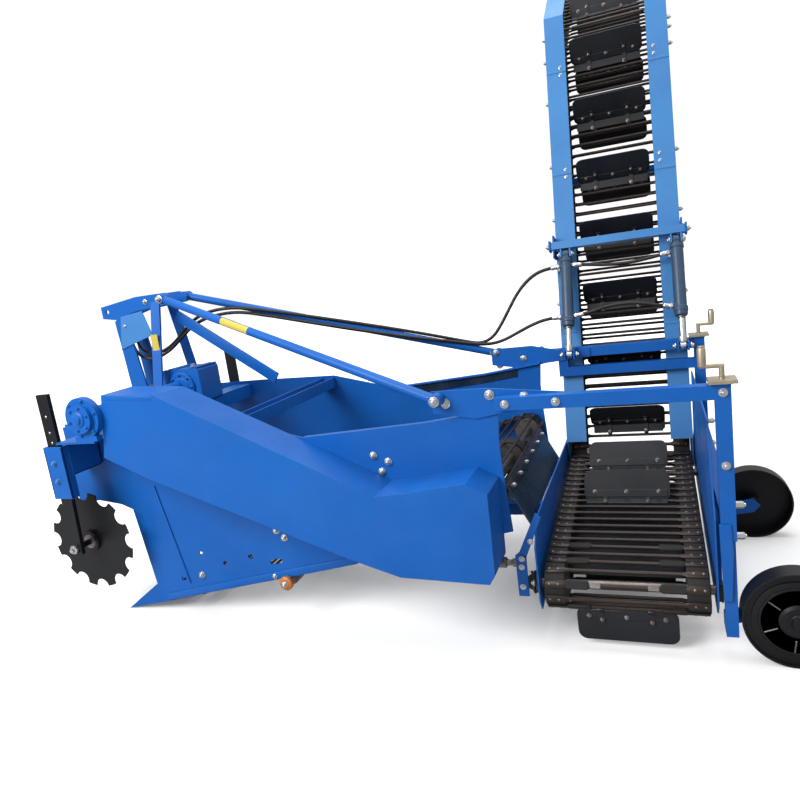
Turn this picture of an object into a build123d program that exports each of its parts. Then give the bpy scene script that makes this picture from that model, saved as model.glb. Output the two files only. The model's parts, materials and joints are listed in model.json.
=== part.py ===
from build123d import *
from math import atan2, cos, degrees, hypot, radians, sin, tan
import os

# Potato harvester, towed behind a tractor: millimetres, +Z up, +X to the rear,
# +Y to the machine's right-hand side. "Near" is the left-hand side, "far" the right.
# Places are given as x along the machine, off sideways from the middle of the
# digging box, and z above the ground.

os.makedirs("parts", exist_ok=True)

# Where the drawing's own x = 0 and off = 0 lie, so that the origin is under the middle
mid_x = -82.6
mid_y = -504.0

# Digging box
box_half = 545.0        # middle of the box to the outer face of a side wall
wall_t = 8.0
plate_t = 8.0
inside = box_half - wall_t

# Side rails, posts and wheel legs
tube = 50.0
tube_wall = 4.0
leg_gap = 0.5           # play of the inner leg in its post
leg_foot = 105.0
rail_z = 1018.0
post_x = 1475.0
post_top = 1050.0
post_foot = 480.0
post_off = box_half + plate_t + tube / 2

# Rear wheels
axle_x = 1685.0
wheel_r = 180.0
wheel_w = 80.0
wheel_plate_t = 6.0
wheel_off = 560.0
axle_r = 15.0

# Webs of the receiving conveyor and the elevator
web_x = 1110.0
web_w = 600.0
web_t = 10.0
belt_w = 78.0
rod_pitch = 56.0
rod_d = 10.0
roller_gap = 0.3
thin_t = 6.0
shaft_r = 18.0

# Receiving conveyor
conv_r = 88.0
conv_gap = 20.0         # web edge to side plate
tail_off, tail_z = -515.0, 245.0
head_off, head_z = 478.0, 368.0

# Elevator
pivot_off, pivot_z = 650.0, 410.0
pivot_r = 20.0
lift_r = 75.0
lift_gap = 8.0
lift_angle = 76.0
lift_run = 2380.0
spout_run = 560.0
spout_drop = 41.0
wall_front = 90.0
wall_back = 60.0
flange_w = 105.0

# Flights on both webs
flight_w = 375.0
flight_len = 150.0
flight_lean = 40.0
flight_t = 6.0
flight_round = 35.0
# Rods that carry a flight, counted round each web
conv_flights = (5, 11, 17, 32, 38)
lift_flights = tuple(range(4, 110, 6))

# Digging web
dig_front_x, dig_front_z = -960.0, 172.0
dig_rear_x, dig_rear_z = 600.0, 634.0
dig_r = 75.0
dig_gap = 12.0

# Hitch
mast_gap = 56.0         # half the space between the two mast plates
mast_t = 12.0
mast_hole_x, mast_hole_z = -1610.0, 1560.0
top_pin_d = 25.4
low_pin_d = 28.0
low_pin_off = 412.0
low_pin_x, low_pin_z = -1640.0, 960.0
beam = 120.0
beam_x, beam_z = -1480.0, 920.0
gear_x, gear_z = -1190.0, 1100.0

# Disc coulters
disc_x, disc_z = -1449.0, 440.0
disc_r = 254.0
disc_t = 6.0
disc_off = 655.0
notch_r = 40.0
notches = 12

sides = ((-1, "near"), (1, "far"))


def side_plane(off):
    # Drawn looking along +Y: local x is x, local y is z
    return Plane(origin=(mid_x, mid_y + off, 0), x_dir=(1, 0, 0), z_dir=(0, -1, 0))


def cross_plane(x):
    # Drawn looking along -X: local x is off, local y is z
    return Plane(origin=(mid_x + x, mid_y, 0), x_dir=(0, 1, 0), z_dir=(1, 0, 0))


def floor_plane(z):
    return Plane(origin=(mid_x, mid_y, z))


def place(x, off, z):
    return Vector(mid_x + x, mid_y + off, z)


def save(name, builder):
    builder.part.label = name
    export_step(builder.part, f"parts/{name}.step")


def plate(points, off, thickness):
    """A flat plate seen from the side, its middle at off."""
    with BuildPart() as made:
        with BuildSketch(side_plane(off)):
            with BuildLine():
                Polyline(*points, close=True)
            make_face()
        extrude(amount=thickness / 2, both=True)
    return made.part


def cross_bar(x, z, off0, off1, size_x, size_z):
    """A solid bar across the machine."""
    low, high = sorted((off0, off1))
    with BuildPart() as made:
        with BuildSketch(side_plane(low)):
            with Locations((x, z)):
                Rectangle(size_x, size_z)
        extrude(amount=low - high)
    return made.part


def cross_round(x, z, off0, off1, r):
    """A round bar across the machine."""
    low, high = sorted((off0, off1))
    with BuildPart() as made:
        with BuildSketch(side_plane(low)):
            with Locations((x, z)):
                Circle(r)
        extrude(amount=low - high)
    return made.part


def long_bar(x0, x1, off, z, size_off, size_z):
    """A solid bar along the machine."""
    with BuildPart() as made:
        with BuildSketch(cross_plane(x0)):
            with Locations((off, z)):
                Rectangle(size_off, size_z)
        extrude(amount=x1 - x0)
    return made.part


def long_round(x0, x1, off, z, r):
    """A round bar along the machine."""
    with BuildPart() as made:
        with BuildSketch(cross_plane(x0)):
            with Locations((off, z)):
                Circle(r)
        extrude(amount=x1 - x0)
    return made.part


def strut(a, b, r):
    """A round bar from place a to place b."""
    run = place(*b) - place(*a)
    with BuildPart() as made:
        with BuildSketch(Plane(origin=place(*a), z_dir=run)):
            Circle(r)
        extrude(amount=run.length)
    return made.part


def flat_strut(a, b, width, thickness):
    """A flat bar from place a to place b, its width along the machine."""
    run = place(*b) - place(*a)
    with BuildPart() as made:
        with BuildSketch(Plane(origin=place(*a), x_dir=(1, 0, 0), z_dir=run)):
            Rectangle(width, thickness)
        extrude(amount=run.length)
    return made.part


def loop_face(spine, r):
    """The outline of a belt run round a spine, as overlapping slots."""
    for (x0, z0), (x1, z1) in zip(spine, spine[1:]):
        turn = degrees(atan2(z1 - z0, x1 - x0))
        with Locations(Location(((x0 + x1) / 2, (z0 + z1) / 2, 0), (0, 0, turn))):
            SlotCenterToCenter(hypot(x1 - x0, z1 - z0), 2 * r)


def loop_places(plane, spine, r, pitch):
    """Evenly spaced planes on the middle line of a belt: x the way it runs, y outwards."""
    with BuildSketch() as flat:
        loop_face(spine, r)
    ring = flat.face().outer_wire()
    count = round(ring.length / pitch)
    left = ring.tangent_at(0).rotate(Axis.Z, 90)
    way = -1 if flat.face().is_inside(ring.position_at(0) + left) else 1
    places = []
    for i in range(count):
        here = ring.position_at(i / count)
        ahead = here + ring.tangent_at(i / count) * way
        origin = plane.from_local_coords(here)
        places.append(Plane(origin=origin, x_dir=plane.from_local_coords(ahead) - origin, z_dir=plane.z_dir))
    return places


def rod_web(plane, spine, r, width, belts, flighted=()):
    """A closed web: belts carried round a spine, rods fused between them, and flights on some rods."""
    spots = loop_places(plane, spine, r - web_t / 2, rod_pitch)
    with BuildPart() as made:
        for off, belt in belts:
            with BuildSketch(plane.offset(off)):
                loop_face(spine, r)
                offset(amount=-web_t, mode=Mode.SUBTRACT)
            extrude(amount=belt / 2, both=True)
        for spot in spots:
            with BuildSketch(spot):
                Rectangle(rod_d, rod_d * 0.8)
            extrude(amount=width / 2 - belt_w + 1, both=True)
        for spot in [spots[i] for i in flighted]:
            lean = radians(flight_lean)
            out = spot.x_dir * sin(lean) + spot.y_dir * cos(lean)
            with BuildSketch(Plane(origin=spot.origin, x_dir=out, z_dir=plane.z_dir.cross(out))):
                with Locations((flight_len / 2, 0)):
                    RectangleRounded(flight_len, flight_w, flight_round)
            extrude(amount=flight_t / 2, both=True)
    return made


# Side walls of the digging box, with a turned-in flange along the rear top edge
wall_outline = (
    (-1426, 0), (-1120, 64), (-684, 166), (-20, 312), (697, 478), (682, 735), (680, 860),
    (691, 985), (376, 945), (-197, 905), (-560, 1000), (-1080, 1010), (-1600, 1010),
    (-1600, 600), (-1461, 612), (-1318, 590), (-1252, 563), (-1200, 153),
)
flange_outline = ((-197, 897), (376, 937), (691, 977), (691, 985), (376, 945), (-197, 905))
flange_in = 30.0
wall_holes = ((-745, 283), (-591, 325), (-1020, 190), (-880, 330))
wall_hole_r = 13.0
for s, side in sides:
    with BuildPart() as side_wall:
        add(plate(wall_outline, s * (box_half - wall_t / 2), wall_t))
        add(plate(flange_outline, s * (box_half - flange_in / 2), flange_in))
        with BuildSketch(side_plane(s * box_half)):
            with Locations(*wall_holes):
                Circle(wall_hole_r)
            with Locations(Location((-450, 304, 0), (0, 0, 12))):
                SlotOverall(70, 26)
            with Locations((-1512, 878)):
                Rectangle(70, 66)
        extrude(amount=wall_t * 2, both=True, mode=Mode.SUBTRACT)
    save(f"{side}_side_wall", side_wall)

# Chain guard: a bent sheet box on the near side, open towards the wall
guard_depth = 205.0
guard_t = 4.0
guard_outline = (
    (-1079, 1196), (-784, 1176), (-90, 844), (199, 702), (326, 718), (584, 755), (663, 711),
    (662, 611), (658, 386), (634, 347), (269, 361), (58, 429), (-917, 797), (-1144, 901), (-1126, 974),
)
with BuildPart() as chain_guard:
    add(plate(guard_outline, -box_half - guard_depth / 2, guard_depth))
    with BuildSketch(side_plane(-box_half)):
        with BuildLine():
            Polyline(*guard_outline, close=True)
        make_face()
        offset(amount=-guard_t, kind=Kind.INTERSECTION, mode=Mode.REPLACE)
    extrude(amount=guard_depth - guard_t, mode=Mode.SUBTRACT)
save("chain_guard", chain_guard)

# Share: an inclined blade across the mouth
share_outline = ((-1426, 0), (-1200, 146), (-1060, 168), (-1060, 156), (-1190, 132), (-1410, 0))
with BuildPart() as share:
    add(plate(share_outline, 0, 2 * inside))
save("share", share)

# Beams across the box
gear_beam_x, gear_beam_z = -1225.0, 950.0
gear_beam_w, gear_beam_h = 130.0, 80.0
channel_x, channel_z = -600.0, 960.0
channel_w, channel_h, channel_t = 90.0, 60.0, 6.0
rear_beam_x, rear_beam_z, rear_beam_w = 600.0, 505.0, 60.0
with BuildPart() as cross_channel:
    add(cross_bar(channel_x, channel_z, -inside, inside, channel_w, channel_h))
    add(cross_bar(channel_x, channel_z + channel_t, -inside, inside, channel_w - 2 * channel_t, channel_h),
        mode=Mode.SUBTRACT)
with BuildPart() as cross_beams:
    add(cross_bar(beam_x, beam_z, -inside, inside, beam, beam))
    add(cross_bar(gear_beam_x, gear_beam_z, -inside, inside, gear_beam_w, gear_beam_h))
    add(cross_channel.part)
    add(cross_bar(rear_beam_x, rear_beam_z, -inside, inside, rear_beam_w, rear_beam_w))
save("cross_beams", cross_beams)

# Mast: two cheek plates with front legs on the front beam and splayed rear legs
cheek_outline = (
    (mast_hole_x - 40, mast_hole_z - 35), (mast_hole_x - 40, mast_hole_z + 30), (-1390, 1622),
    (-1190, 1622), (-1150, 1590), (-1150, 1560), (-1400, 1545), (-1560, 1510),
)
beam_top = beam_z + beam / 2
gear_beam_top = gear_beam_z + gear_beam_h / 2
coupling_x, coupling_z = -1530.0, 1470.0
coupling_off, coupling_r, coupling_len = 20.0, 13.0, 45.0
holder_t = 10.0
leg_splay = 190.0
mast_leg_w = 60.0
leg_foot_x = gear_x - 85.0
front_leg = ((-1570, 1500), (-1500, 1545), (-1420, beam_top), (-1540, beam_top))
with BuildPart() as mast:
    for s, side in sides:
        off = s * (mast_gap + mast_t / 2)
        add(plate(cheek_outline, off, mast_t))
        add(plate(front_leg, off, mast_t))
        add(flat_strut((-1265, off, 1580), (leg_foot_x, s * leg_splay, gear_beam_top + mast_t / 2), mast_leg_w, mast_t))
        add(cross_bar(leg_foot_x, gear_beam_top + mast_t / 2, s * (leg_splay - 50), s * (leg_splay + 50),
                      mast_leg_w, mast_t))
    add(cross_bar(-1330, 1580, -mast_gap, mast_gap, 60, 40))
    add(cross_bar(coupling_x, coupling_z + holder_t / 2, -mast_gap, mast_gap, 60, holder_t))
    add(cross_bar(-1480, beam_top + 10, -mast_gap - mast_t, mast_gap + mast_t, beam, 20))
    with BuildSketch(side_plane(0)):
        with Locations((mast_hole_x, mast_hole_z)):
            Circle(top_pin_d / 2)
    extrude(amount=mast_gap + 2 * mast_t, both=True, mode=Mode.SUBTRACT)
save("mast", mast)

# Braces from the mast down to the rear of the side walls
brace_r = 21.0
brace_end = 27.0
brace_top_x, brace_top_z = -1180.0, 1590.0
brace_low_x, brace_low_z = 455.0, 1045.0
brace_seat = 6.0
for s, side in sides:
    top = (brace_top_x, s * (mast_gap + mast_t + brace_seat + brace_end), brace_top_z)
    low = (brace_low_x, s * (box_half + plate_t + brace_seat + brace_end), brace_low_z)
    with BuildPart() as brace:
        add(strut(top, low, brace_r))
        for x, off, z in (top, low):
            add(cross_round(x, z, off - s * (brace_end + brace_seat), off + s * brace_end, brace_end))
    save(f"{side}_brace", brace)

# Lower hitch brackets with their pins
hitch_face = beam_x - beam / 2
bracket_gap = 35.0
bracket_t = 12.0
for s, side in sides:
    with BuildPart() as lower_hitch:
        for k in (-1, 1):
            add(plate(((-1690, 915), (-1690, 1005), (hitch_face, 975), (hitch_face, 865)),
                      s * low_pin_off + k * bracket_gap, bracket_t))
        add(cross_round(low_pin_x, low_pin_z, s * low_pin_off - 85, s * low_pin_off + 85, low_pin_d / 2))
    save(f"{side}_lower_hitch", lower_hitch)

# Gearbox, its input shaft, the cross shaft and the hub at its outer end
gear_size = 200.0
gear_foot = gear_z - gear_size / 2 - gear_beam_top
pto_r = 17.4
hub_r = 97.0
cross_r = 38.0
hub_t = 33.0
shelf_z = 985.0
shelf_t = 10.0
shelf_len = 240.0
with BuildPart() as gearbox:
    with BuildSketch(side_plane(0)):
        with Locations((gear_x + 20, gear_z)):
            RectangleRounded(gear_size + 40, gear_size, 18)
    extrude(amount=gear_size / 2 - 10, both=True)
    add(long_round(gear_x - 150, gear_x, 0, gear_z, 80))
    add(cross_bar(gear_x + 20, gear_beam_top + gear_foot / 2, -70, 70, 160, gear_foot))
save("gearbox", gearbox)
with BuildPart() as pto_shaft:
    add(long_round(gear_x - 280, gear_x - 150, 0, gear_z, pto_r))
save("pto_shaft", pto_shaft)
with BuildPart() as cross_shaft:
    add(cross_round(gear_x, gear_z, -box_half - guard_depth, -gear_size / 2 + 10, cross_r))
    add(cross_round(gear_x, gear_z, -box_half - guard_depth - hub_t, -box_half - guard_depth, hub_r))
    add(cross_round(gear_x, gear_z, -box_half - guard_depth - hub_t - 20, -box_half - guard_depth, 68))
    add(cross_bar(gear_x, (gear_z - hub_r + shelf_z + shelf_t / 2) / 2 + 6, -box_half - guard_depth,
                  -box_half - guard_depth - hub_t, 130, gear_z - hub_r - shelf_z - shelf_t / 2 + 12))
    add(cross_bar(gear_x - 75, shelf_z, -box_half, -box_half - guard_depth - hub_t, shelf_len, shelf_t))
save("cross_shaft", cross_shaft)

# Digging web, its rollers and the support rollers under it
dig_spine = ((dig_front_x, dig_front_z), (dig_rear_x, dig_rear_z))
dig_w = 2 * (inside - dig_gap)
dig_belts = ((-(dig_w - belt_w) / 2, belt_w), (0, belt_w), ((dig_w - belt_w) / 2, belt_w))
dig_web = rod_web(side_plane(0), dig_spine, dig_r, dig_w, dig_belts)
save("digging_web", dig_web)
dig_shaft_r = 22.0
support_x = -402.0
support_r = 40.0
dig_slope = (dig_rear_z - dig_front_z) / (dig_rear_x - dig_front_x)
support_z = (dig_front_z + (support_x - dig_front_x) * dig_slope
             - (dig_r + support_r + roller_gap) * hypot(1, dig_slope))
with BuildPart() as web_rollers:
    for x, z in dig_spine:
        add(cross_round(x, z, -inside, inside, dig_shaft_r))
        for off, belt in dig_belts:
            add(cross_round(x, z, off - belt / 2, off + belt / 2, dig_r - web_t - roller_gap))
    for off, belt in (dig_belts[0], dig_belts[2]):
        add(cross_round(support_x, support_z, off - 30, off + 30, support_r))
    add(cross_round(support_x, support_z, -inside, inside, 10))
save("web_rollers", web_rollers)

# Bars that carry the conveyor
post_beam_z = 560.0
carrier_off = 300.0
carrier_z = rear_beam_z - 20

# Rubber flap that leads from the digging web down to the cross conveyor, and a strip on the far wall
flap_top, flap_low = (688.0, 672.0), (772.0, 505.0)
flap_t = 8.0
flap_off = (-inside + 0.3, 330.0)
flap_dir = Vector(flap_low[0] - flap_top[0], 0, flap_low[1] - flap_top[1])
with BuildPart() as rubber_flap:
    with BuildSketch(Plane(origin=place(flap_top[0], flap_off[0], flap_top[1]), x_dir=flap_dir, z_dir=(0, 1, 0))):
        with Locations((flap_dir.length / 2, 0)):
            Rectangle(flap_dir.length, flap_t)
    extrude(amount=flap_off[1] - flap_off[0])
    for off in (-carrier_off, carrier_off):
        add(long_bar(flap_low[0] - 50, flap_low[0] + 50, off, carrier_z, tube + 6, tube + 6), mode=Mode.SUBTRACT)
save("rubber_flap", rubber_flap)
strip_t = 6.0
strip_outline = ((-90, 900), (-90, 850), (376, 893), (560, 915), (560, 955), (376, 932))
with BuildPart() as wall_strip:
    add(plate(strip_outline, inside - strip_t / 2, strip_t))
save("wall_strip", wall_strip)

# Disc coulters on their shanks
shank_off = disc_off + 95.0
shank_t = 20.0
shank_outline = ((-1470, 1221), (-1400, 1221), (-1400, 700), (-1415, 410), (-1480, 410), (-1470, 700))
hub_half = 18.0
spindle_r = 15.0
for s, side in sides:
    with BuildPart() as shank:
        add(plate(shank_outline, s * shank_off, shank_t))
        add(cross_round(disc_x, disc_z, s * shank_off, s * (disc_off - hub_half - 6), spindle_r))
        add(cross_bar(-1435, 890, s * box_half, s * (shank_off - shank_t / 2), 110, 140))
    save(f"{side}_disc_shank", shank)
    with BuildPart() as disc:
        with BuildSketch(side_plane(s * disc_off)):
            with Locations((disc_x, disc_z)):
                Circle(disc_r)
                with PolarLocations(disc_r, notches):
                    Circle(notch_r, mode=Mode.SUBTRACT)
        extrude(amount=disc_t / 2, both=True)
        add(cross_round(disc_x, disc_z, s * disc_off - hub_half, s * disc_off + hub_half, 55))
        add(cross_round(disc_x, disc_z, s * disc_off - hub_half, s * disc_off + hub_half, spindle_r + roller_gap),
            mode=Mode.SUBTRACT)
    save(f"{side}_disc", disc)

# Bolted rear plates, side rails, posts, legs, wheels and cranks
rear_plate_outline = ((425, 985), (425, 1075), (650, 1075), (950, rail_z + tube / 2), (950, rail_z - tube / 2),
                      (720, 975), (600, 955))
plate_low_top = rail_z + 17.0   # the far plate is lower where the front cylinder's rod leans over it
far_plate_outline = ((425, 985), (425, 1075), (650, 1075), (810, plate_low_top), (950, plate_low_top),
                     (950, rail_z - tube / 2), (720, 975), (600, 955))
leg_size = tube - 2 * tube_wall - 2 * leg_gap
arm_off = wheel_off - wheel_w / 2 - 15
arm_t = 12.0
foot_h = 55.0
face_off = wheel_off + wheel_w / 2 - 12
crank_t = 12.0
crank_r = 9.0
crank_reach = 60.0
crank_plate = 90.0
for s, side in sides:
    with BuildPart() as rear_plate:
        add(plate(far_plate_outline if s > 0 else rear_plate_outline, s * (box_half + plate_t / 2), plate_t))
    save(f"{side}_rear_plate", rear_plate)
    with BuildPart() as side_frame:
        add(long_bar(690, post_x - tube / 2, s * post_off, rail_z, tube, tube))
        with BuildSketch(floor_plane(post_foot)):
            with Locations((post_x, s * post_off)):
                Rectangle(tube, tube)
                Rectangle(tube - 2 * tube_wall, tube - 2 * tube_wall, mode=Mode.SUBTRACT)
        extrude(amount=post_top - post_foot)
    save(f"{side}_side_frame", side_frame)
    with BuildPart() as leg:
        with BuildSketch(floor_plane(leg_foot)):
            with Locations((post_x, s * post_off)):
                Rectangle(leg_size, leg_size)
        extrude(amount=post_top - 160 - leg_foot)
        add(cross_bar(post_x, leg_foot + foot_h / 2, s * (arm_off - arm_t / 2), s * (post_off + leg_size / 2),
                      leg_size, foot_h))
        add(plate(((post_x - leg_size / 2, leg_foot), (post_x - leg_size / 2, leg_foot + foot_h),
                   (axle_x, wheel_r + 35), (axle_x + 30, wheel_r), (axle_x, wheel_r - 35)), s * arm_off, arm_t))
        add(cross_round(axle_x, wheel_r, s * arm_off, s * (face_off - 8), axle_r))
    save(f"{side}_wheel_leg", leg)
    with BuildPart() as wheel:
        low, high = wheel_off - wheel_w / 2, wheel_off + wheel_w / 2
        add(cross_round(axle_x, wheel_r, s * low, s * high, wheel_r))
        add(cross_round(axle_x, wheel_r, s * low, s * high, wheel_r - 8), mode=Mode.SUBTRACT)
        add(cross_round(axle_x, wheel_r, s * (face_off - wheel_plate_t / 2), s * (face_off + wheel_plate_t / 2),
                        wheel_r - 7))
        add(cross_round(axle_x, wheel_r, s * (low + 2), s * face_off, 35))
        add(cross_round(axle_x, wheel_r, s * low, s * (face_off - 7), axle_r + 0.5), mode=Mode.SUBTRACT)
    save(f"{side}_wheel", wheel)
    with BuildPart() as crank:
        add(cross_bar(post_x, post_top + crank_t / 2, s * post_off - 45, s * post_off + 45, crank_plate, crank_t))
        with BuildSketch(floor_plane(post_top + crank_t)):
            with Locations((post_x, s * post_off)):
                Circle(crank_r)
        extrude(amount=45)
        add(long_round(post_x - crank_r, post_x + crank_r, s * post_off, post_top + crank_t + 45, crank_r))
        add(long_round(post_x, post_x + s * (crank_reach + crank_r), s * post_off, post_top + crank_t + 45, crank_r))
        with BuildSketch(floor_plane(post_top + crank_t + 40)):
            with Locations((post_x + s * crank_reach, s * post_off)):
                Circle(crank_r + 2)
        extrude(amount=75)
    save(f"{side}_crank", crank)

# Receiving conveyor: side plates, web, shafts and bearings
plate_half = web_w / 2 + conv_gap
front_plate_outline = (
    (-560, 150), (pivot_off + 60, 320), (pivot_off + 60, 470), (pivot_off + 20, 530),
    (-500, 520), (-590, 430), (-590, 200),
)
rear_plate_high = (
    (-540, 165), (pivot_off + 60, 320), (pivot_off + 60, 470), (pivot_off - 60, 560),
    (540, 880), (-440, 880), (-590, 560), (-590, 220),
)
for name, outline, x in (("conveyor_front_plate", front_plate_outline, web_x - plate_half - thin_t),
                         ("conveyor_rear_plate", rear_plate_high, web_x + plate_half)):
    with BuildPart() as conveyor_plate:
        with BuildSketch(cross_plane(x)):
            with BuildLine():
                Polyline(*outline, close=True)
            make_face()
            with Locations((pivot_off, pivot_z)):
                Circle(pivot_r + 0.5, mode=Mode.SUBTRACT)
        extrude(amount=thin_t)
    save(name, conveyor_plate)

side_belts = ((-(web_w - belt_w) / 2, belt_w), ((web_w - belt_w) / 2, belt_w))
conv_plane = Plane(origin=place(web_x, tail_off, tail_z), x_dir=(0, head_off - tail_off, head_z - tail_z),
                   z_dir=(1, 0, 0))
conv_len = hypot(head_off - tail_off, head_z - tail_z)
conveyor_web = rod_web(conv_plane, ((0, 0), (conv_len, 0)), conv_r, web_w, side_belts, conv_flights)
save("conveyor_web", conveyor_web)
drum_r = conv_r - web_t - roller_gap
bearing_t, bearing_r = 16.0, 42.0
with BuildPart() as conveyor_shafts:
    for off, z in ((tail_off, tail_z), (head_off, head_z)):
        add(long_round(web_x - plate_half, web_x + plate_half, off, z, shaft_r))
        for belt_x, belt in side_belts:
            add(long_round(web_x + belt_x - belt / 2, web_x + belt_x + belt / 2, off, z, drum_r))
save("conveyor_shafts", conveyor_shafts)
with BuildPart() as tail_bearings:
    for s in (-1, 1):
        x = web_x + s * (plate_half + thin_t + bearing_t / 2)
        add(long_round(x - bearing_t / 2, x + bearing_t / 2, tail_off, tail_z, bearing_r))
save("tail_bearings", tail_bearings)
with BuildPart() as tail_bracket:
    add(long_bar(web_x + plate_half + thin_t, post_x - tube / 2, tail_off - 20, 415, tube, 250))
save("tail_bracket", tail_bracket)
low_rail_w = 40.0
with BuildPart() as low_rail:
    add(long_bar(web_x - plate_half - thin_t, post_x - tube / 2, post_off - tube / 2 + low_rail_w / 2,
                 rail_z - 2 * tube, low_rail_w, tube))
    add(cross_bar(web_x - plate_half - thin_t + tube / 2, rail_z - tube, post_off - tube / 2, post_off + tube / 2,
                  tube, tube))
save("low_rail", low_rail)

# Carriers between the digger, the conveyor and the posts
with BuildPart() as conveyor_carriers:
    add(cross_bar(post_x, post_beam_z, -post_off + tube / 2, post_off - tube / 2, tube, tube))
    for off in (-carrier_off, carrier_off):
        add(long_bar(web_x + plate_half + thin_t, post_x - tube / 2, off, post_beam_z, tube, tube))
        add(long_bar(rear_beam_x + rear_beam_w / 2, web_x - plate_half - thin_t, off, carrier_z, tube, tube))
save("conveyor_carriers", conveyor_carriers)

# Elevator, leaning outwards from its foot shaft
lift_plane = Plane(origin=place(web_x, pivot_off, pivot_z),
                   x_dir=(0, cos(radians(lift_angle)), sin(radians(lift_angle))), z_dir=(1, 0, 0))
turn = radians(spout_drop)
spout_end = (lift_run + spout_run * cos(turn), -spout_run * sin(turn))
lift_spine = ((0, 0), (lift_run, 0), spout_end)
elevator_web = rod_web(lift_plane, lift_spine, lift_r, web_w, side_belts, lift_flights)
save("elevator_web", elevator_web)

lift_half = web_w / 2 + lift_gap
front_v = lift_r + wall_front
back_v = -lift_r - wall_back
mitre = tan(turn / 2)
spout_over = 60.0


def spout_corner(v):
    return (spout_end[0] + v * sin(turn) + spout_over * cos(turn),
            spout_end[1] + v * cos(turn) - spout_over * sin(turn))


wall_profile = (
    (-60, -60), (-60, 60), (90, front_v), (lift_run + front_v * mitre, front_v), spout_corner(front_v),
    spout_corner(back_v), (lift_run + back_v * mitre, back_v), (90, back_v),
)
flange_v = front_v - thin_t
lift_flange = ((90, flange_v), (90, front_v), wall_profile[3], wall_profile[4],
               spout_corner(flange_v), (lift_run + flange_v * mitre, flange_v))
for s, name in ((-1, "elevator_front_wall"), (1, "elevator_rear_wall")):
    with BuildPart() as lift_wall:
        with BuildSketch(lift_plane.offset(s * (lift_half + thin_t / 2))):
            with BuildLine():
                Polyline(*wall_profile, close=True)
            make_face()
            Circle(pivot_r + roller_gap, mode=Mode.SUBTRACT)
        extrude(amount=thin_t / 2, both=True)
        with BuildSketch(lift_plane.offset(s * (lift_half + thin_t - flange_w / 2))):
            with BuildLine():
                Polyline(*lift_flange, close=True)
            make_face()
        extrude(amount=flange_w / 2, both=True)
    save(name, lift_wall)
with BuildPart() as elevator_shafts:
    for u, v, half in ((0, 0, plate_half + thin_t + 12), (spout_end[0], spout_end[1], lift_half)):
        with BuildSketch(lift_plane):
            with Locations((u, v)):
                Circle(pivot_r)
        extrude(amount=half, both=True)
        for belt_x, belt in side_belts:
            with BuildSketch(lift_plane.offset(belt_x)):
                with Locations((u, v)):
                    Circle(lift_r - web_t - roller_gap)
            extrude(amount=belt / 2, both=True)
save("elevator_shafts", elevator_shafts)

# Cross bar on the elevator's front, and the two cylinders hung below it
bar_u, bar_v, bar_size = 1150.0, 225.0, 40.0
bar_over = 30.0
with BuildPart() as lift_bar:
    with BuildSketch(lift_plane):
        with Locations((bar_u, bar_v)):
            Rectangle(bar_size, bar_size)
    extrude(amount=lift_half + bar_over, both=True)
    for s in (-1, 1):
        with BuildSketch(lift_plane.offset(s * (lift_half - 5))):
            with Locations((bar_u, (front_v + bar_v) / 2)):
                Rectangle(50, bar_v - front_v)
        extrude(amount=10, both=True)

cyl_rows = ((-1, -258.0, "front"), (1, 290.0, "rear"))   # place along the bar from the middle of the web
pin_u, pin_v = 1100.0, 225.0
pin_r = 10.0
ear_gap = 24.0
ear_t = 8.0
eye_off, eye_z = 490.0, 1018.0
eye_r = 18.0
eye_half = 12.0
eye_neck = 28.0           # clears the corners of the bar's lugs when the barrel swings
barrel_end = 388.0
barrel_r = 30.0
rod_r = 14.0
rod_neck = 30.0           # flat part above the eye, thinner than the space between the clevis pins
top_pin = lift_plane.from_local_coords(Vector(pin_u, pin_v, 0))
cyl_dir = Vector(0, mid_y + eye_off - top_pin.Y, eye_z - top_pin.Z)
cyl_run = cyl_dir.length
cyl_plane = Plane(origin=top_pin, x_dir=cyl_dir, z_dir=(1, 0, 0))
port_r = 13.0
port_out = 15.0
port_places = (65.0, 345.0)
for s, cyl_x, side in cyl_rows:
    base = cyl_plane.offset(cyl_x)
    with BuildPart() as barrel:
        with BuildSketch(base):
            Circle(22)
            with Locations((eye_neck / 2, 0)):
                Rectangle(eye_neck, 36)
        extrude(amount=14, both=True)
        with BuildSketch(Plane(origin=base.from_local_coords(Vector(eye_neck, 0, 0)), z_dir=base.x_dir)):
            Circle(barrel_r)
        extrude(amount=barrel_end - eye_neck)
        for u in port_places:
            with BuildSketch(base):
                with Locations((u, 0)):
                    Circle(port_r)
            extrude(amount=-barrel_r - port_out, both=s < 0)
        with BuildSketch(Plane(origin=base.from_local_coords(Vector(40, 0, 0)), z_dir=base.x_dir)):
            Circle(rod_r + 0.5)
        extrude(amount=barrel_end, mode=Mode.SUBTRACT)
        with BuildSketch(base):
            Circle(pin_r + 0.5)
        extrude(amount=20, both=True, mode=Mode.SUBTRACT)
    save(f"{side}_cylinder", barrel)
    with BuildPart() as rod:
        with BuildSketch(Plane(origin=base.from_local_coords(Vector(60, 0, 0)), z_dir=base.x_dir)):
            Circle(rod_r)
        extrude(amount=cyl_run - 60 - rod_neck)
        with BuildSketch(base):
            with Locations((cyl_run, 0)):
                Circle(eye_r)
            with Locations((cyl_run - rod_neck / 2, 0)):
                Rectangle(rod_neck, 1.6 * rod_r)
        extrude(amount=eye_half, both=True)
        with BuildSketch(base):
            with Locations((cyl_run, 0)):
                Circle(pin_r + 0.5)
        extrude(amount=20, both=True, mode=Mode.SUBTRACT)
    save(f"{side}_cylinder_rod", rod)

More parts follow.
